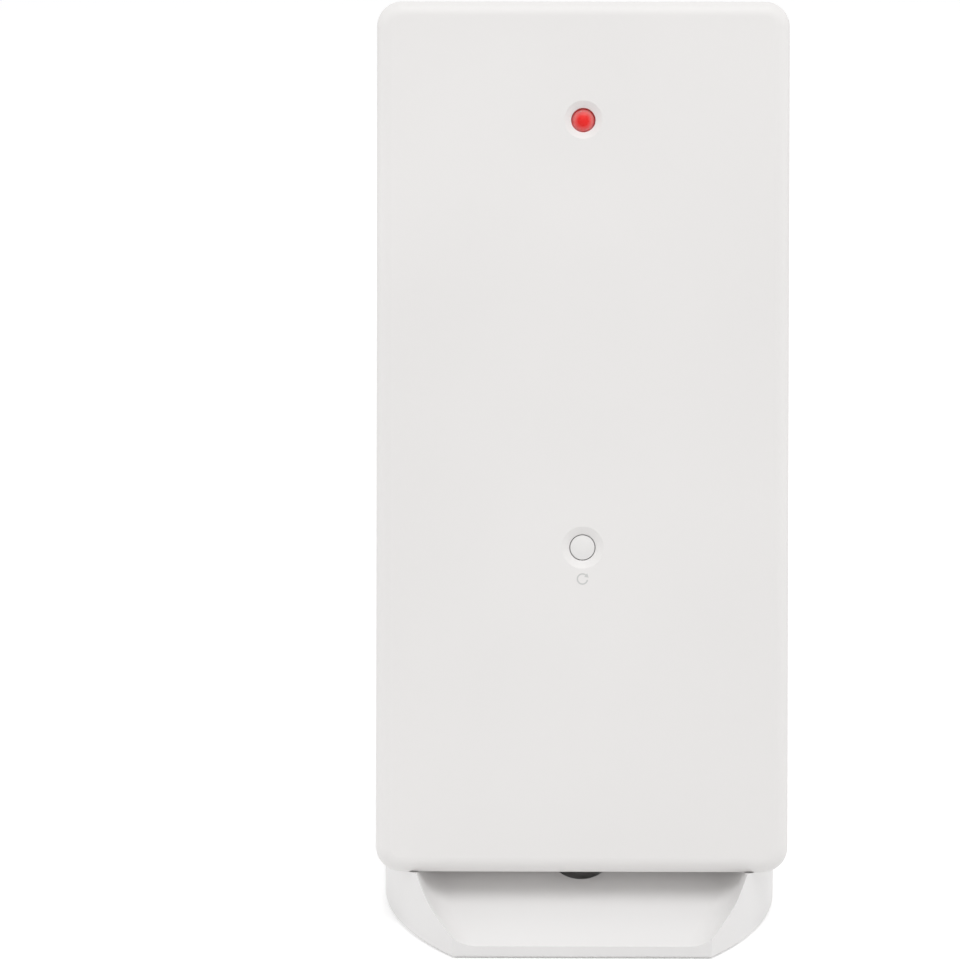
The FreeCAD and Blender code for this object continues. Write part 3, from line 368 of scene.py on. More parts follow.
def object_place(tree):
    """The surface's own place in the packed frame."""
    return add_node(tree, "ShaderNodeTexCoord").outputs["Object"]


def unit_place(tree):
    """The surface's place in the unit frame: the packed frame turned by the lean."""
    shift = -(UNIT_AXES @ UNIT_ORIGIN)
    node = add_node(tree, "ShaderNodeMapping", {"Vector": object_place(tree)}, vector_type="POINT")
    node.inputs["Rotation"].default_value = (LEAN, 0.0, 0.0)
    node.inputs["Location"].default_value = tuple(shift)
    return node.outputs[0]


def bumped(tree, shader, height, distance):
    """Raise the shader's surface by a height map."""
    bump = add_node(tree, "ShaderNodeBump", {"Height": height, "Distance": distance})
    feed(tree, shader.inputs["Normal"], bump.outputs[0])


def skinned(tree, shader, skin, depth):
    """Give the shader the colour, roughness and height of a skin group."""
    feed(tree, shader.inputs["Base Color"], skin["Colour"])
    feed(tree, shader.inputs["Roughness"], skin["Roughness"])
    bumped(tree, shader, skin["Height"], depth)


def plastic(name, colour, roughness, grains=3500.0, depth=0.000004, corner_shade_share=0.06):
    """Moulded plastic in a colour."""
    material, tree, shader = new_material(name)
    skin = use_group(tree, shared(moulded_skin_group), {
        "Place": object_place(tree), "Colour": rgba(colour), "Grains": grains,
        "Roughness": roughness, "Corner Shade": corner_shade_share})
    skinned(tree, shader, skin, depth)
    return material


def metal(name, colour, roughness, streaks=6000.0, stretch=(1.0, 1.0, 0.05), depth=0.000003):
    """Plated metal in a colour."""
    material, tree, shader = new_material(name, Metallic=1.0)
    skin = use_group(tree, shared(plated_metal_group), {
        "Place": unit_place(tree), "Colour": rgba(colour), "Roughness": roughness,
        "Streaks": streaks, "Stretch": stretch})
    skinned(tree, shader, skin, depth)
    return material


# Settings

def colour_property(name, description, default):
    """A colour that a user may change."""
    return FloatVectorProperty(name=name, description=description, default=default, size=3,
                               subtype="COLOR", min=0.0, max=1.0)


def length_property(name, description, default):
    """A length in metres that a user may change."""
    return FloatProperty(name=name, description=description, default=default,
                         unit="LENGTH", precision=5)


def angle_property(name, description, degrees):
    """An angle that a user may change."""
    return FloatProperty(name=name, description=description, default=math.radians(degrees),
                         subtype="ANGLE", unit="ROTATION")


def share_property(name, description, default):
    """A share from nothing to all that a user may change."""
    return FloatProperty(name=name, description=description, default=default, min=0, max=1)


def power_property(name, description, default):
    """A lamp's power in watts that a user may change."""
    return FloatProperty(name=name, description=description, default=default, min=0, unit="POWER")


class CaseSettings(bpy.types.PropertyGroup):
    """Colours and skin of the moulded pieces."""
    case_colour: colour_property(
        "Case", "Colour of the two housing halves and the door", (0.815, 0.800, 0.790))
    foot_colour: colour_property("Foot", "Colour of the foot", (0.815, 0.805, 0.800))
    button_colour: colour_property("Button", "Colour of the reset button", (0.800, 0.790, 0.780))
    case_roughness: share_property("Roughness", "How matte the case is", 0.52)
    grain_depth: length_property("Grain", "Depth of the moulded grain", 0.000004)


class LightSettings(bpy.types.PropertyGroup):
    """The red status light."""
    lens_colour: colour_property("Lens", "Colour of the light's body", (0.66, 0.018, 0.016))
    lens_roughness: share_property("Roughness", "How dull the lens is", 0.3)
    # Painted glow: the lens gives off a little light of its own, which also lightens the shaded gap
    # round it
    lens_painted_glow: share_property("Glow", "Strength of the light's faint glow", 0.16)


class MarkSettings(bpy.types.PropertyGroup):
    """The faint printed sign below the button and the raised digits below the channel selector."""
    drop: length_property("Drop", "From the button's middle down to the sign's middle", 0.0041)
    radius: length_property("Radius", "Radius of the round arrow's middle line", 0.00066)
    line_width: length_property("Line", "Width of the printed line", 0.00019)
    ink_height: length_property("Height", "How far the ink stands on the plastic", 0.000012)
    ink_colour: colour_property("Ink", "Colour of the ink", (0.60, 0.60, 0.59))
    digit_height: length_property("Digits", "Height of the channel digits", 0.00105)
    digit_rise: length_property("Digit rise", "How far the digits stand on their floor", 0.00008)
    digit_floor: length_property("Digit floor", "From the selector's face to that floor", 0.0007)
    digit_colour: colour_property("Digit ink", "Colour of the digits", (0.10, 0.10, 0.11))


class BoardSettings(bpy.types.PropertyGroup):
    """Solder joints and chip parts on the boards."""
    joint_radius: length_property("Joint", "Radius of a common solder joint", 0.00065)
    joint_height: length_property("Joint height", "Height of a solder joint", 0.00055)
    chip_length: length_property("Chip length", "Length of a chip part", 0.0016)
    chip_width: length_property("Chip width", "Width of a chip part", 0.0008)
    chip_height: length_property("Chip height", "Height of a chip part", 0.0005)
    chip_colour: colour_property("Chip", "Colour of the chip parts' ceramic", (0.16, 0.11, 0.07))


class StageSettings(bpy.types.PropertyGroup):
    """Camera, floor and lamps."""
    camera_distance: length_property("Distance", "From the camera to the point it looks at", 0.48)
    camera_pitch: angle_property("Pitch", "Camera's height angle", 15.75)
    camera_yaw: angle_property("Yaw", "Camera's turn to the right", 0.4)
    focal_length: FloatProperty(
        name="Lens", description="Focal length in millimetres", default=137.9, min=10)
    aim_height: length_property("Aim height", "Up the unit's front, from its lower edge", 0.0514)
    aim_side: length_property("Aim side", "To the right of the unit's middle", -0.0134)
    sky: FloatProperty(
        name="Sky", description="Strength of the even light from all sides", default=0.65, min=0)
    key_power: power_property("Key", "Power of the lamp above", 3.9)
    left_power: power_property("Left", "Power of the left lamp", 1.0)
    right_power: power_property("Right", "Power of the right lamp", 0.72)


class SENSOR_OT_case(bpy.types.Operator):
    """Finish the two housing halves and the battery door as fine-grained matte plastic"""
    bl_idname = "sensor.case"
    bl_label = "Case"

    def execute(self, context):
        given = context.scene.sensor_case
        finish = plastic("case_plastic", given.case_colour, given.case_roughness,
                         depth=given.grain_depth)
        for node in ("front_cover", "rear_housing", "battery_door"):
            dress(node, finish)
        return {"FINISHED"}


class SENSOR_OT_foot(bpy.types.Operator):
    """Finish the foot as smooth satin plastic"""
    bl_idname = "sensor.foot"
    bl_label = "Foot"

    def execute(self, context):
        given = context.scene.sensor_case
        finish = plastic("stand_plastic", given.foot_colour, 0.42, grains=1800.0, depth=0.000002)
        dress("stand", finish)
        return {"FINISHED"}


class SENSOR_OT_button(bpy.types.Operator):
    """Finish the reset button, and the switch and other small black pieces"""
    bl_idname = "sensor.button"
    bl_label = "Button"

    def execute(self, context):
        given = context.scene.sensor_case
        dress("reset_button", plastic("button_plastic", given.button_colour, 0.45, grains=3000.0))
        black = plastic("black_plastic", (0.028, 0.028, 0.030), 0.48, grains=5000.0)
        for node in ("switch_plunger", "reset_switch", "led_spacer", "selector_knob"):
            dress(node, black)
        return {"FINISHED"}


class SENSOR_OT_light(bpy.types.Operator):
    """Finish the status light as tinted cast resin and its leads as tinned wire"""
    bl_idname = "sensor.light"
    bl_label = "Status light"

    def execute(self, context):
        given = context.scene.sensor_light
        dress("status_led", red_lens(given.lens_colour, given.lens_roughness, given.lens_painted_glow))
        tinned = metal("tinned_metal", (0.74, 0.74, 0.72), 0.28, stretch=(1.0, 0.05, 1.0))
        dress("led_leads", tinned)
        return {"FINISHED"}


def red_lens(colour, roughness, glow):
    """Diffusing red resin with a faint glow, paler where its side is seen at a low angle."""
    # Painted glow: the emission lights the lens and its flange, and fills the shaded gap round the
    # lens with red
    material, tree, shader = new_material("red_lens", **{
        "Specular IOR Level": 0.22, "Subsurface Weight": 1.0, "Subsurface Scale": 0.0025,
        "Subsurface Radius": (1.0, 0.10, 0.08),
        "Emission Color": (1.0, 0.03, 0.02, 1.0), "Emission Strength": glow})
    deep_share, sheen_level, sheen_share, dull_change = 0.78, 0.9, 0.5, 0.05
    place = object_place(tree)
    haze = noise(tree, place, 900.0, 3.0, 0.5)
    deep = tuple(deep_share * part for part in colour)
    hazy = spread(tree, haze, 0.35, 0.65, 0.0, 0.4)
    toned = mix_colour(tree, hazy, rgba(colour), rgba(deep))
    # Painted sheen: Layer Weight's facing mixes the base colour towards a paler red where the
    # lens's side is seen at a low angle, so it moves with the view
    low_angle = add_node(tree, "ShaderNodeLayerWeight", {"Blend": 0.4}).outputs["Facing"]
    painted_sheen_share = spread(tree, low_angle, 0.08, 0.6, 0.0, 1.0)
    pale = tuple(part + sheen_share * (sheen_level - part) for part in colour)
    feed(tree, shader.inputs["Base Color"], mix_colour(tree, painted_sheen_share, toned, rgba(pale)))
    fine = noise(tree, place, 5200.0, 3.0, 0.6)
    feed(tree, shader.inputs["Roughness"],
         spread(tree, fine, 0.3, 0.7, roughness - dull_change, roughness + dull_change))
    bumped(tree, shader, fine, 0.0000015)
    return material


class SENSOR_OT_sign(bpy.types.Operator):
    """Print the faint round arrow below the button"""
    bl_idname = "sensor.sign"
    bl_label = "Printed sign"

    def execute(self, context):
        given = context.scene.sensor_mark
        middle = unit_middle("reset_button")
        middle[1] = 0.0
        middle[2] -= given.drop
        shapes = round_arrow(middle, given.radius, given.line_width, given.ink_height)
        ink = plastic("print_ink", given.ink_colour, 0.5, grains=9000.0, depth=0.000001, corner_shade_share=0.0)
        make_piece("reset_sign", shapes, "sensor_unit", ink)
        return {"FINISHED"}


def round_arrow(middle, radius, width, height):
    """A flat open ring with an arrow head, standing a little on the front face.

    The ring is a flat rectangle carried along middle + radius * (cos a, 0, sin a); the head is a
    triangle from the ring's start along its tangent.
    """
    start_deg, end_deg, steps = 50.0, 350.0, 40
    head_half, head_length = 1.6 * width, 2.6 * width
    angle = np.radians(np.linspace(start_deg, end_deg, steps))
    out = np.stack((np.cos(angle), 0 * angle, np.sin(angle)), -1)
    depth = np.tile((0.0, 1.0, 0.0), (steps, 1))
    half = 0.5 * width
    flat = np.array(((-half, -height), (half, -height), (half, 0.0), (-half, 0.0)))
    ring = carried(flat, middle + radius * out, out, depth)
    side = out[0]
    ahead = np.array((math.sin(angle[0]), 0.0, -math.cos(angle[0])))
    head_at = middle + radius * side
    triangle = np.array(((-head_half, 0.0), (head_half, 0.0), (0.0, head_length)))
    ends = np.array((head_at - (0, height, 0), head_at))
    head = carried(triangle, ends, np.tile(side, (2, 1)), np.tile(ahead, (2, 1)))
    return [ring, head]


# Shares of the digits' height: from the selector down to a digit's middle, and a stroke's width
DIGIT_DROP = 0.76
DIGIT_STROKE = 0.18


class SENSOR_OT_digits(bpy.types.Operator):
    """Add the raised digits below the channel selector's three positions"""
    bl_idname = "sensor.digits"
    bl_label = "Channel digits"

    def execute(self, context):
        given = context.scene.sensor_mark
        low, high = unit_box("channel_selector")
        first_x = unit_middle("selector_knob")[0]
        height = given.digit_height
        depth, level = high[1] - given.digit_floor, low[2] - DIGIT_DROP * height
        shapes = []
        for step, strokes in enumerate(digit_strokes()):
            middle = np.array((first_x * (1 - step), depth, level))
            seen_behind = strokes * (-height, height)
            path = middle + np.insert(seen_behind, 1, 0.0, axis=1)
            shapes.append(ribbon(path, DIGIT_STROKE * height, given.digit_rise))
        ink = plastic("digit_ink", given.digit_colour, 0.45, grains=6000.0, depth=0.000001,
                      corner_shade_share=0.0)
        make_piece("channel_digits", shapes, "sensor_unit", ink)
        return {"FINISHED"}


def arc_points(middle, radius, start_deg, end_deg):
    """Points of a flat arc: middle + radius * (cos a, sin a)."""
    steps = 12
    angle = np.radians(np.linspace(start_deg, end_deg, steps))
    return np.array(middle) + radius * np.stack((np.cos(angle), np.sin(angle)), -1)


def digit_strokes():
    """The strokes of 1, 2 and 3, one unit high about their middles."""
    one = np.array(((-0.18, 0.30), (0.0, 0.5), (0.0, -0.5)))
    two = np.concatenate((arc_points((0.0, 0.24), 0.26, 170, -35), ((-0.27, -0.5), (0.27, -0.5))))
    three = np.concatenate((arc_points((0.0, 0.25), 0.23, 150, -75),
                            arc_points((0.0, -0.22), 0.27, 75, -150)))
    return one, two, three


def ribbon(path, width, rise):
    """A flat strip of a width along a path in the x and height plane, standing out to the back.

    Its side direction at a point is the mean of both neighbouring stretches' side directions.
    """
    along = np.diff(path, axis=0)
    along /= np.linalg.norm(along, axis=1)[:, None]
    side = np.cross(along, (0.0, 1.0, 0.0))
    across = np.concatenate((side[:1], side[:-1] + side[1:], side[-1:]))
    across /= np.linalg.norm(across, axis=1)[:, None]
    flat = np.array(((-0.5, 0.0), (0.5, 0.0), (0.5, 1.0), (-0.5, 1.0))) * (width, rise)
    return carried(flat, path, across, np.tile((0.0, 1.0, 0.0), (len(path), 1)))


# How high the joints on the boards' fronts are, beside those on the main board's back
FRONT_JOINT = 0.6
# Shares of a chip part's half length: its bare body and half a plated end. The ends stand proud
CHIP_BODY = 0.55
CHIP_END = (1 - CHIP_BODY) / 2
CHIP_PROUD = 1.04


class SENSOR_OT_solder(bpy.types.Operator):
    """Add the solder joints and the small chip parts on both circuit boards"""
    bl_idname = "sensor.solder"
    bl_label = "Solder and chip parts"

    def execute(self, context):
        given = context.scene.sensor_board
        tin = metal("solder", (0.72, 0.72, 0.71), 0.2, streaks=900.0, stretch=(1.0, 1.0, 1.0),
                    depth=0.00001)
        board, radio = unit_box("main_board"), unit_box("radio_board")
        back, front, radio_front = board[1][1], board[0][1], radio[0][1]
        radius, height = given.joint_radius, given.joint_height
        joints = [solder_joint((x, back, z), 1.0, size * radius, height)
                  for x, z, size in joints_behind()]
        joints += [solder_joint((x, front, z), -1.0, size * radius, FRONT_JOINT * height)
                   for x, z, size in joints_in_front()]
        joints += [solder_joint((x, radio_front, z), -1.0, radius, FRONT_JOINT * height)
                   for x, z in radio_pins()]
        make_piece("solder_joints", joints, "sensor_unit", tin, smooth_deg=60.0)
        lying = np.array((given.chip_length, given.chip_height, given.chip_width)) / 2
        standing = lying[[2, 1, 0]]
        bodies, ends = [], []
        for x, z, upright, on_radio in chip_places():
            half = standing if upright else lying
            along = np.array((0.0, 0.0, 1.0) if upright else (1.0, 0.0, 0.0))
            middle = np.array((x, (radio_front if on_radio else front) - half[1], z))
            bodies.append(block(middle, half * (1 - (1 - CHIP_BODY) * along)))
            for way in (-1, 1):
                end = middle + way * (CHIP_BODY + CHIP_END) * half * along
                ends.append(block(end, half * (CHIP_PROUD - (CHIP_PROUD - CHIP_END) * along)))
        make_piece("chip_ends", ends, "sensor_unit", tin)
        ceramic = cast_resin("chip_ceramic", given.chip_colour, 0.4)
        make_piece("chip_bodies", bodies, "sensor_unit", ceramic)
        return {"FINISHED"}


def solder_joint(foot, way, radius, height):
    """A joint that hugs its pin, with a side that curves in from the board.

    Its radius at a share h of its height is radius * (0.38 + 0.62 * (1 - h) ** 2).
    """
    tip_share, rings, sides = 0.38, 6, 16
    rise = np.linspace(0.0, 1.0, rings)
    reach = radius * (tip_share + (1 - tip_share) * (1 - rise) ** 2)
    axis, side = np.array((0.0, way, 0.0)), np.array((1.0, 0.0, 0.0))
    return turned(np.stack((reach, height * rise), -1), np.array(foot), axis, side, sides)


def joints_behind():
    """Places and sizes of the joints on the main board's back.

    They hold the light, the switch, the contacts, the antenna wire and the radio board.
    """
    leg_half = 0.25 * MM
    tab_shift, tab_drop = 0.1 * MM, 0.2 * MM
    wire_shift, wire_drop = 0.6 * MM, 3.0 * MM
    light = unit_middle("led_leads")
    lead = unit_box("led_leads")[1][0] - leg_half
    low, high = unit_box("reset_switch")
    leg = high[0] - leg_half
    level, rise = (low[2] + high[2]) / 2, (high[2] - low[2]) / 3
    places = [(side * lead, light[2], 1.0) for side in (-1, 1)]
    places += [(side * leg, level + way * rise, 1.0) for side in (-1, 1) for way in (-1, 1)]
    for node in ("positive_contact", "negative_contact"):
        low, high = unit_box(node)
        places.append(((low[0] + high[0]) / 2 - tab_shift, high[2] - tab_drop, 1.8))
    wire = unit_box("antenna_wire")[0][0]
    places.append((wire + wire_shift, unit_box("main_board")[1][2] - wire_drop, 1.2))
    return places + [(x, z, 1.0) for x, z in radio_pins()]


def joints_in_front():
    """Places and sizes of the joints on the main board's front: crystal, capacitor and probe."""
    pin_share, pin_rise = 0.25, 0.3 * MM
    lead_half, lead_drop = 0.6 * MM, 0.35 * MM
    places = []
    for node, size in (("clock_crystal", 0.6), ("supply_capacitor", 0.7)):
        low, high = unit_box(node)
        for side in (-1, 1):
            x = (low[0] + high[0]) / 2 + side * pin_share * (high[0] - low[0])
            places.append((x, low[2] + pin_rise, size))
    low, high = unit_box("temperature_probe")
    middle = (low[0] + high[0]) / 2
    return places + [(middle + side * lead_half, high[2] - lead_drop, 0.8) for side in (-1, 1)]


def radio_pins():
    """Places of the radio board's row of pins, along its lower edge."""
    inset, count = 1.6 * MM, 5
    low, high = unit_box("radio_board")
    return [(x, low[2] + inset) for x in np.linspace(low[0] + inset, high[0] - inset, count)]


# Chip parts round a piece: whether they stand upright, and x and height from its middle in mm
CHIP_ROWS = (
    ("controller_chip", False, ((8.2, -6.5), (8.2, -4.3), (8.2, -2.1))),
    ("controller_chip", True, ((-8.6, -3.0), (-8.6, 0.4), (-8.6, 3.8))),
    ("reset_switch", True, ((-4.0, -6.2), (-1.8, -6.2), (4.2, -6.2))),
    ("status_led", False, ((5.2, -1.4), (5.2, 0.9))),
    ("radio_board", True, ((-4.2, -2.2), (-2.2, -2.2), (4.4, 2.0), (4.4, -2.2))),
)


def chip_places():
    """Chip parts as x, height, whether they stand upright and whether the radio board has them."""
    places = []
    for node, upright, offsets in CHIP_ROWS:
        middle = unit_middle(node)
        places += [(middle[0] + dx * MM, middle[2] + dz * MM, upright, node == "radio_board")
                   for dx, dz in offsets]
    return places


class SENSOR_OT_board(bpy.types.Operator):
    """Finish the circuit boards and what stands on them"""
    bl_idname = "sensor.board"
    bl_label = "Circuit board"

    def execute(self, context):
        board = circuit_board()
        dress("main_board", board)
        dress("radio_board", board)
        dress("controller_chip", cast_resin("black_resin", (0.018, 0.018, 0.019), 0.2))
        can = metal("can_metal", (0.66, 0.67, 0.68), 0.24)
        dress("clock_crystal", can)
        dress("radio_resonator", can)
        dress("supply_capacitor", cast_resin("capacitor_sleeve", (0.02, 0.03, 0.09), 0.3))
        wire = metal("copper_wire", (0.74, 0.33, 0.16), 0.25, stretch=(1.0, 1.0, 1.0))
        dress("antenna_wire", wire)
        dress("temperature_probe", cast_resin("probe_coating", (0.015, 0.015, 0.02), 0.18))
        return {"FINISHED"}


def cast_resin(name, colour, roughness):
    """Dipped or cast resin with slow waves in its skin."""
    material, tree, shader = new_material(name, **{"Coat Weight": 0.3, "Coat Roughness": 0.08})
    wave = noise(tree, object_place(tree), 650.0, 2.0, 0.4)
    lighter = tuple(min(1.0, 1.8 * part + 0.004) for part in colour)
    crest = spread(tree, wave, 0.4, 0.7, 0.0, 1.0)
    feed(tree, shader.inputs["Base Color"], mix_colour(tree, crest, rgba(colour), rgba(lighter)))
    feed(tree, shader.inputs["Roughness"],
         spread(tree, wave, 0.3, 0.7, roughness - 0.06, roughness + 0.08))
    bumped(tree, shader, wave, 0.00002)
    return material


def circuit_board():
    """Green solder mask over copper tracks, on a woven glass board."""
    bare, over_track = (0.012, 0.13, 0.05, 1), (0.03, 0.24, 0.09, 1)
    in_weave = (0.008, 0.09, 0.04, 1)
    track_pitch, region_scale, weave_height = 0.0011, 130.0, 0.2
    material, tree, shader = new_material("circuit_board")
    place = unit_place(tree)
    parts = add_node(tree, "ShaderNodeSeparateXYZ", {"Vector": place})
    region = add_node(tree, "ShaderNodeTexVoronoi", {"Vector": place, "Scale": region_scale},
                      distance="CHEBYCHEV")
    pick = math_node(tree, "GREATER_THAN", region.outputs["Color"], 0.5)
    line_x = track_lines(tree, parts.outputs["X"], track_pitch)
    line_z = track_lines(tree, parts.outputs["Z"], track_pitch)
    track = math_node(tree, "ADD", math_node(tree, "MULTIPLY", line_x, pick),
                      math_node(tree, "MULTIPLY", line_z, math_node(tree, "SUBTRACT", 1.0, pick)))
    weave = noise(tree, place, 1500.0, 3.0, 0.5)
    woven = spread(tree, weave, 0.4, 0.7, 0.0, 0.35)
    feed(tree, shader.inputs["Base Color"],
         mix_colour(tree, woven, mix_colour(tree, track, bare, over_track), in_weave))
    feed(tree, shader.inputs["Roughness"], spread(tree, weave, 0.3, 0.7, 0.28, 0.42))
    height = math_node(tree, "ADD", track, math_node(tree, "MULTIPLY", weave, weave_height))
    bumped(tree, shader, height, 0.00003)
    return material


def track_lines(tree, across, pitch):
    """Mask of parallel copper tracks at a pitch."""
    turn = math_node(tree, "PINGPONG", across, pitch / 2)
    return spread(tree, turn, 0.26 * pitch, 0.31 * pitch, 0.0, 1.0)


class SENSOR_OT_battery(bpy.types.Operator):
    """Finish both cells: printed foil jacket, steel ends and nub"""
    bl_idname = "sensor.battery"
    bl_label = "Batteries"

    def execute(self, context):
        for node, nub_up in (("battery_left", True), ("battery_right", False)):
            dress(node, cell_finish("battery_jacket_" + node, node, nub_up))
        return {"FINISHED"}


def cell_finish(name, node, nub_up):
    """Cell with a dark foil jacket, a pale band near its plus end and bare steel ends.

    Distance along the cell runs from its minus end; distance from its axis tells the jacket's
    folded rim from the bare ends.
    """
    rim_share, band_share, line_share, line_half = 0.8, 0.78, 0.775, 0.0005
    plus_share, minus_share, bar_long, bar_thin = 0.89, 0.10, 0.0015, 0.0003
    dark_foil, band_foil = (0.035, 0.045, 0.07, 1), (0.55, 0.56, 0.58, 1)
    line_ink = (0.75, 0.12, 0.05, 1)
    plus_ink, minus_ink = (0.03, 0.03, 0.035, 1), (0.62, 0.62, 0.62, 1)
    scuffed_foil, steel = (0.3, 0.3, 0.31, 1), (0.62, 0.61, 0.58, 1)
    material, tree, shader = new_material(name)
    low, high = unit_box(node)
    middle = (low + high) / 2
    length = high[2] - low[2]
    radius = (high[0] - low[0]) / 2
    place = unit_place(tree)
    parts = add_node(tree, "ShaderNodeSeparateXYZ", {"Vector": place})
    if nub_up:
        along = math_node(tree, "SUBTRACT", parts.outputs["Z"], low[2])
    else:
        along = math_node(tree, "SUBTRACT", high[2], parts.outputs["Z"])
    side = math_node(tree, "SUBTRACT", parts.outputs["X"], middle[0])
    depth = math_node(tree, "SUBTRACT", parts.outputs["Y"], middle[1])
    reach = math_node(tree, "SQRT", math_node(tree, "ADD", math_node(tree, "MULTIPLY", side, side),
                                              math_node(tree, "MULTIPLY", depth, depth)))
    jacket = math_node(tree, "GREATER_THAN", reach, rim_share * radius)
    band = math_node(tree, "GREATER_THAN", along, band_share * length)
    line = math_node(tree, "COMPARE", along, line_share * length, line_half)
    foil = mix_colour(tree, band, dark_foil, band_foil)
    foil = mix_colour(tree, line, foil, line_ink)
    plus = math_node(
        tree, "MAXIMUM", bar_mask(tree, side, along, plus_share * length, bar_long, bar_thin),
        bar_mask(tree, side, along, plus_share * length, bar_thin, bar_long))
    minus = bar_mask(tree, side, along, minus_share * length, bar_long, bar_thin)
    foil = mix_colour(tree, plus, foil, plus_ink)
    foil = mix_colour(tree, minus, foil, minus_ink)
    scuff = noise(tree, place, 900.0, 4.0, 0.7)
    foil = mix_colour(tree, spread(tree, scuff, 0.55, 0.8, 0.0, 0.3), foil, scuffed_foil)
    feed(tree, shader.inputs["Base Color"], mix_colour(tree, jacket, steel, foil))
    feed(tree, shader.inputs["Metallic"], spread(tree, jacket, 0.0, 1.0, 1.0, 0.25))
    feed(tree, shader.inputs["Roughness"], spread(tree, scuff, 0.3, 0.8, 0.26, 0.42))
    bumped(tree, shader, scuff, 0.000004)
    return material


def bar_mask(tree, side, along, middle, half_side, half_along):
    """Mask of a bar on a cell's jacket, round a distance along the cell."""
    inside = math_node(tree, "LESS_THAN", math_node(tree, "ABSOLUTE", side), half_side)
    reach = math_node(tree, "COMPARE", along, middle, half_along)
    return math_node(tree, "MULTIPLY", inside, reach)


class SENSOR_OT_contacts(bpy.types.Operator):
    """Finish the battery contacts and their springs as nickel-plated steel"""
    bl_idname = "sensor.contacts"
    bl_label = "Contacts"

    def execute(self, context):
        finish = metal("contact_metal", (0.70, 0.69, 0.66), 0.22, streaks=9000.0,
                       stretch=(0.1, 1.0, 1.0))
        for node in ("positive_contact", "negative_contact", "bridge_contact"):
            dress(node, finish)
        return {"FINISHED"}


class SENSOR_OT_selector(bpy.types.Operator):
    """Finish the channel selector's folded metal shell"""
    bl_idname = "sensor.selector"
    bl_label = "Channel selector"

    def execute(self, context):
        shell = metal("selector_shell", (0.66, 0.66, 0.64), 0.3, stretch=(0.06, 1.0, 1.0))
        dress("channel_selector", shell)
        return {"FINISHED"}


class SENSOR_OT_screws(bpy.types.Operator):
    """Finish all the screws as zinc-plated steel"""
    bl_idname = "sensor.screws"
    bl_label = "Screws"

    def execute(self, context):
        finish = metal("screw_steel", (0.55, 0.55, 0.56), 0.3, streaks=4000.0,
                       stretch=(1.0, 0.2, 1.0))
        for node in ("housing_screws", "board_screws"):
            dress(node, finish)
        return {"FINISHED"}


FLOOR_HALF = 3.0
FLOOR_GLOW = 0.32
LAMP_SIZE = 0.6
# A point in the middle of the unit's front, and the lamps' places from it in the packed frame
LIT_POINT = (0.0, 0.0, 0.06)
ABOVE = (0.10, -0.35, 0.90)
AT_LEFT = (-0.70, 0.0, 0.10)
AT_RIGHT = (0.70, 0.0, 0.10)


class SENSOR_OT_stage(bpy.types.Operator):
    """Set the floor, the even sky, the lamps and the camera"""
    bl_idname = "sensor.stage"
    bl_label = "Stage"

    def execute(self, context):
        given = context.scene.sensor_stage
        context.scene.view_settings.view_transform = "Standard"
        make_floor()
        make_sky(given.sky)
        make_lamp("key", ABOVE, given.key_power)
        make_lamp("left_side", AT_LEFT, given.left_power)
        make_lamp("right_side", AT_RIGHT, given.right_power)
        make_camera(given)
        return {"FINISHED"}


def seen_directly(tree):
    """1 for rays from the camera, from shiny surfaces and through clear ones."""
    path = tree.nodes.new("ShaderNodeLightPath")
    seen = math_node(tree, "MAXIMUM", path.outputs["Is Camera Ray"], path.outputs["Is Glossy Ray"])
    return math_node(tree, "MAXIMUM", seen, path.outputs["Is Transmission Ray"])


def make_floor():
    """A wide white floor that keeps the shadow; a little of its own light is seen only directly."""
    mesh = bpy.data.meshes.new("floor")
    corners = np.array(((-1, -1, 0), (1, -1, 0), (1, 1, 0), (-1, 1, 0))) * FLOOR_HALF
    mesh.from_pydata(corners.tolist(), [], [(0, 1, 2, 3)])
    floor = bpy.data.objects.new("floor", mesh)
    bpy.context.scene.collection.objects.link(floor)
    material, tree, shader = new_material("floor_white", **{
        "Base Color": (0.9, 0.9, 0.9, 1), "Roughness": 0.9, "Specular IOR Level": 0.0,
        "Emission Color": (1, 1, 1, 1)})
    glow = math_node(tree, "MULTIPLY", seen_directly(tree), FLOOR_GLOW)
    feed(tree, shader.inputs["Emission Strength"], glow)
    mesh.materials.append(material)


def make_sky(strength):
    """Even white light from all sides; seen directly it is plain white."""
    world = bpy.data.worlds.new("sky")
    world.use_nodes = True
    tree = world.node_tree
    sky = tree.nodes["Background"]
    sky.inputs["Color"].default_value = (1, 1, 1, 1)
    feed(tree, sky.inputs["Strength"], spread(tree, seen_directly(tree), 0.0, 1.0, strength, 1.0))
    bpy.context.scene.world = world


def make_lamp(name, away, power):
    """A large square lamp that faces the middle of the unit's front, at a place away from it."""
    lamp = bpy.data.lights.new(name, "AREA")
    lamp.shape = "SQUARE"
    lamp.size = LAMP_SIZE
    lamp.energy = power
    place = bpy.data.objects.new(name, lamp)
    bpy.context.scene.collection.objects.link(place)
    target = Vector(from_unit(LIT_POINT))
    place.location = target + Vector(away)
    place.rotation_mode = "QUATERNION"
    place.rotation_quaternion = (target - place.location).to_track_quat("-Z", "Y")


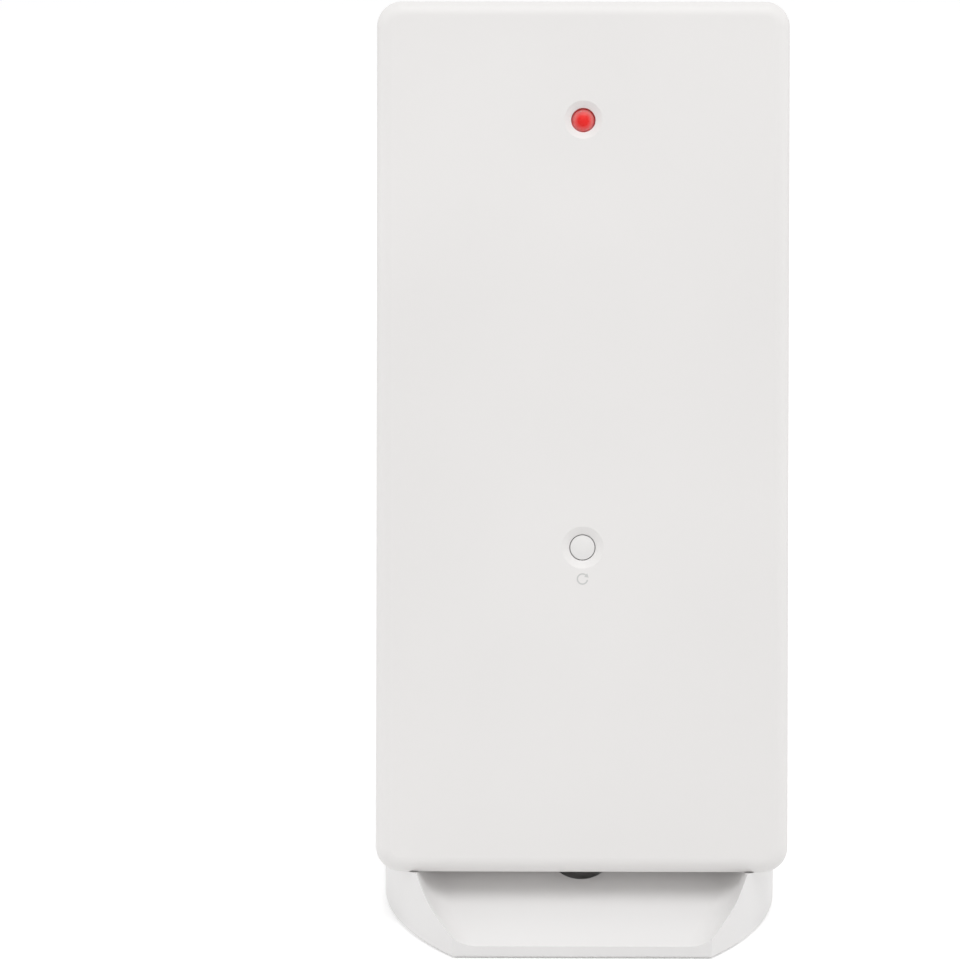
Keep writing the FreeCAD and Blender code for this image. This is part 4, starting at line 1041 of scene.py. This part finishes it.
def make_camera(given):
    """The camera at the photograph's angle: in front and a little above."""
    aim = Vector(UNIT_ORIGIN + UP * given.aim_height + RIGHT * given.aim_side)
    back = Vector((math.sin(given.camera_yaw) * math.cos(given.camera_pitch),
                   -math.cos(given.camera_yaw) * math.cos(given.camera_pitch),
                   math.sin(given.camera_pitch)))
    data = bpy.data.cameras.new("camera")
    data.sensor_width = 36.0
    data.lens = given.focal_length
    data.clip_start = 0.01
    data.clip_end = 20.0
    camera = bpy.data.objects.new("camera", data)
    camera.location = aim + back * given.camera_distance
    camera.rotation_mode = "QUATERNION"
    camera.rotation_quaternion = (-back).to_track_quat("-Z", "Y")
    bpy.context.scene.collection.objects.link(camera)
    bpy.context.scene.camera = camera


OPERATORS = (
    SENSOR_OT_case, SENSOR_OT_foot, SENSOR_OT_button, SENSOR_OT_light, SENSOR_OT_sign,
    SENSOR_OT_digits, SENSOR_OT_solder, SENSOR_OT_board, SENSOR_OT_battery,
    SENSOR_OT_contacts, SENSOR_OT_selector, SENSOR_OT_screws, SENSOR_OT_stage,
)
SETTINGS = {
    "sensor_case": CaseSettings, "sensor_light": LightSettings,
    "sensor_mark": MarkSettings, "sensor_board": BoardSettings, "sensor_stage": StageSettings,
}


class SENSOR_PT_finish(bpy.types.Panel):
    """Lists the operators and their settings"""
    bl_label = "Temperature Sensor"
    bl_idname = "SENSOR_PT_finish"
    bl_space_type = "VIEW_3D"
    bl_region_type = "UI"
    bl_category = "Sensor"

    def draw(self, context):
        for operator in OPERATORS:
            self.layout.operator(operator.bl_idname)
        for holder, group in SETTINGS.items():
            column = self.layout.column(heading=group.__doc__)
            for name in group.__annotations__:
                column.prop(getattr(context.scene, holder), name)


def register():
    """Add the settings, the operators and the panel."""
    for group in SETTINGS.values():
        bpy.utils.register_class(group)
    for holder, group in SETTINGS.items():
        setattr(bpy.types.Scene, holder, PointerProperty(type=group))
    for operator in OPERATORS:
        bpy.utils.register_class(operator)
    bpy.utils.register_class(SENSOR_PT_finish)


def unregister():
    """Take away what register added."""
    bpy.utils.unregister_class(SENSOR_PT_finish)
    for operator in reversed(OPERATORS):
        bpy.utils.unregister_class(operator)
    for holder in SETTINGS:
        delattr(bpy.types.Scene, holder)
    for group in SETTINGS.values():
        bpy.utils.unregister_class(group)


def main():
    """Register, run the operators in order and write down both boxes."""
    register()
    for operator in OPERATORS:
        group, name = operator.bl_idname.split(".")
        getattr(getattr(bpy.ops, group), name)()


if __name__ == "__main__":
    main()
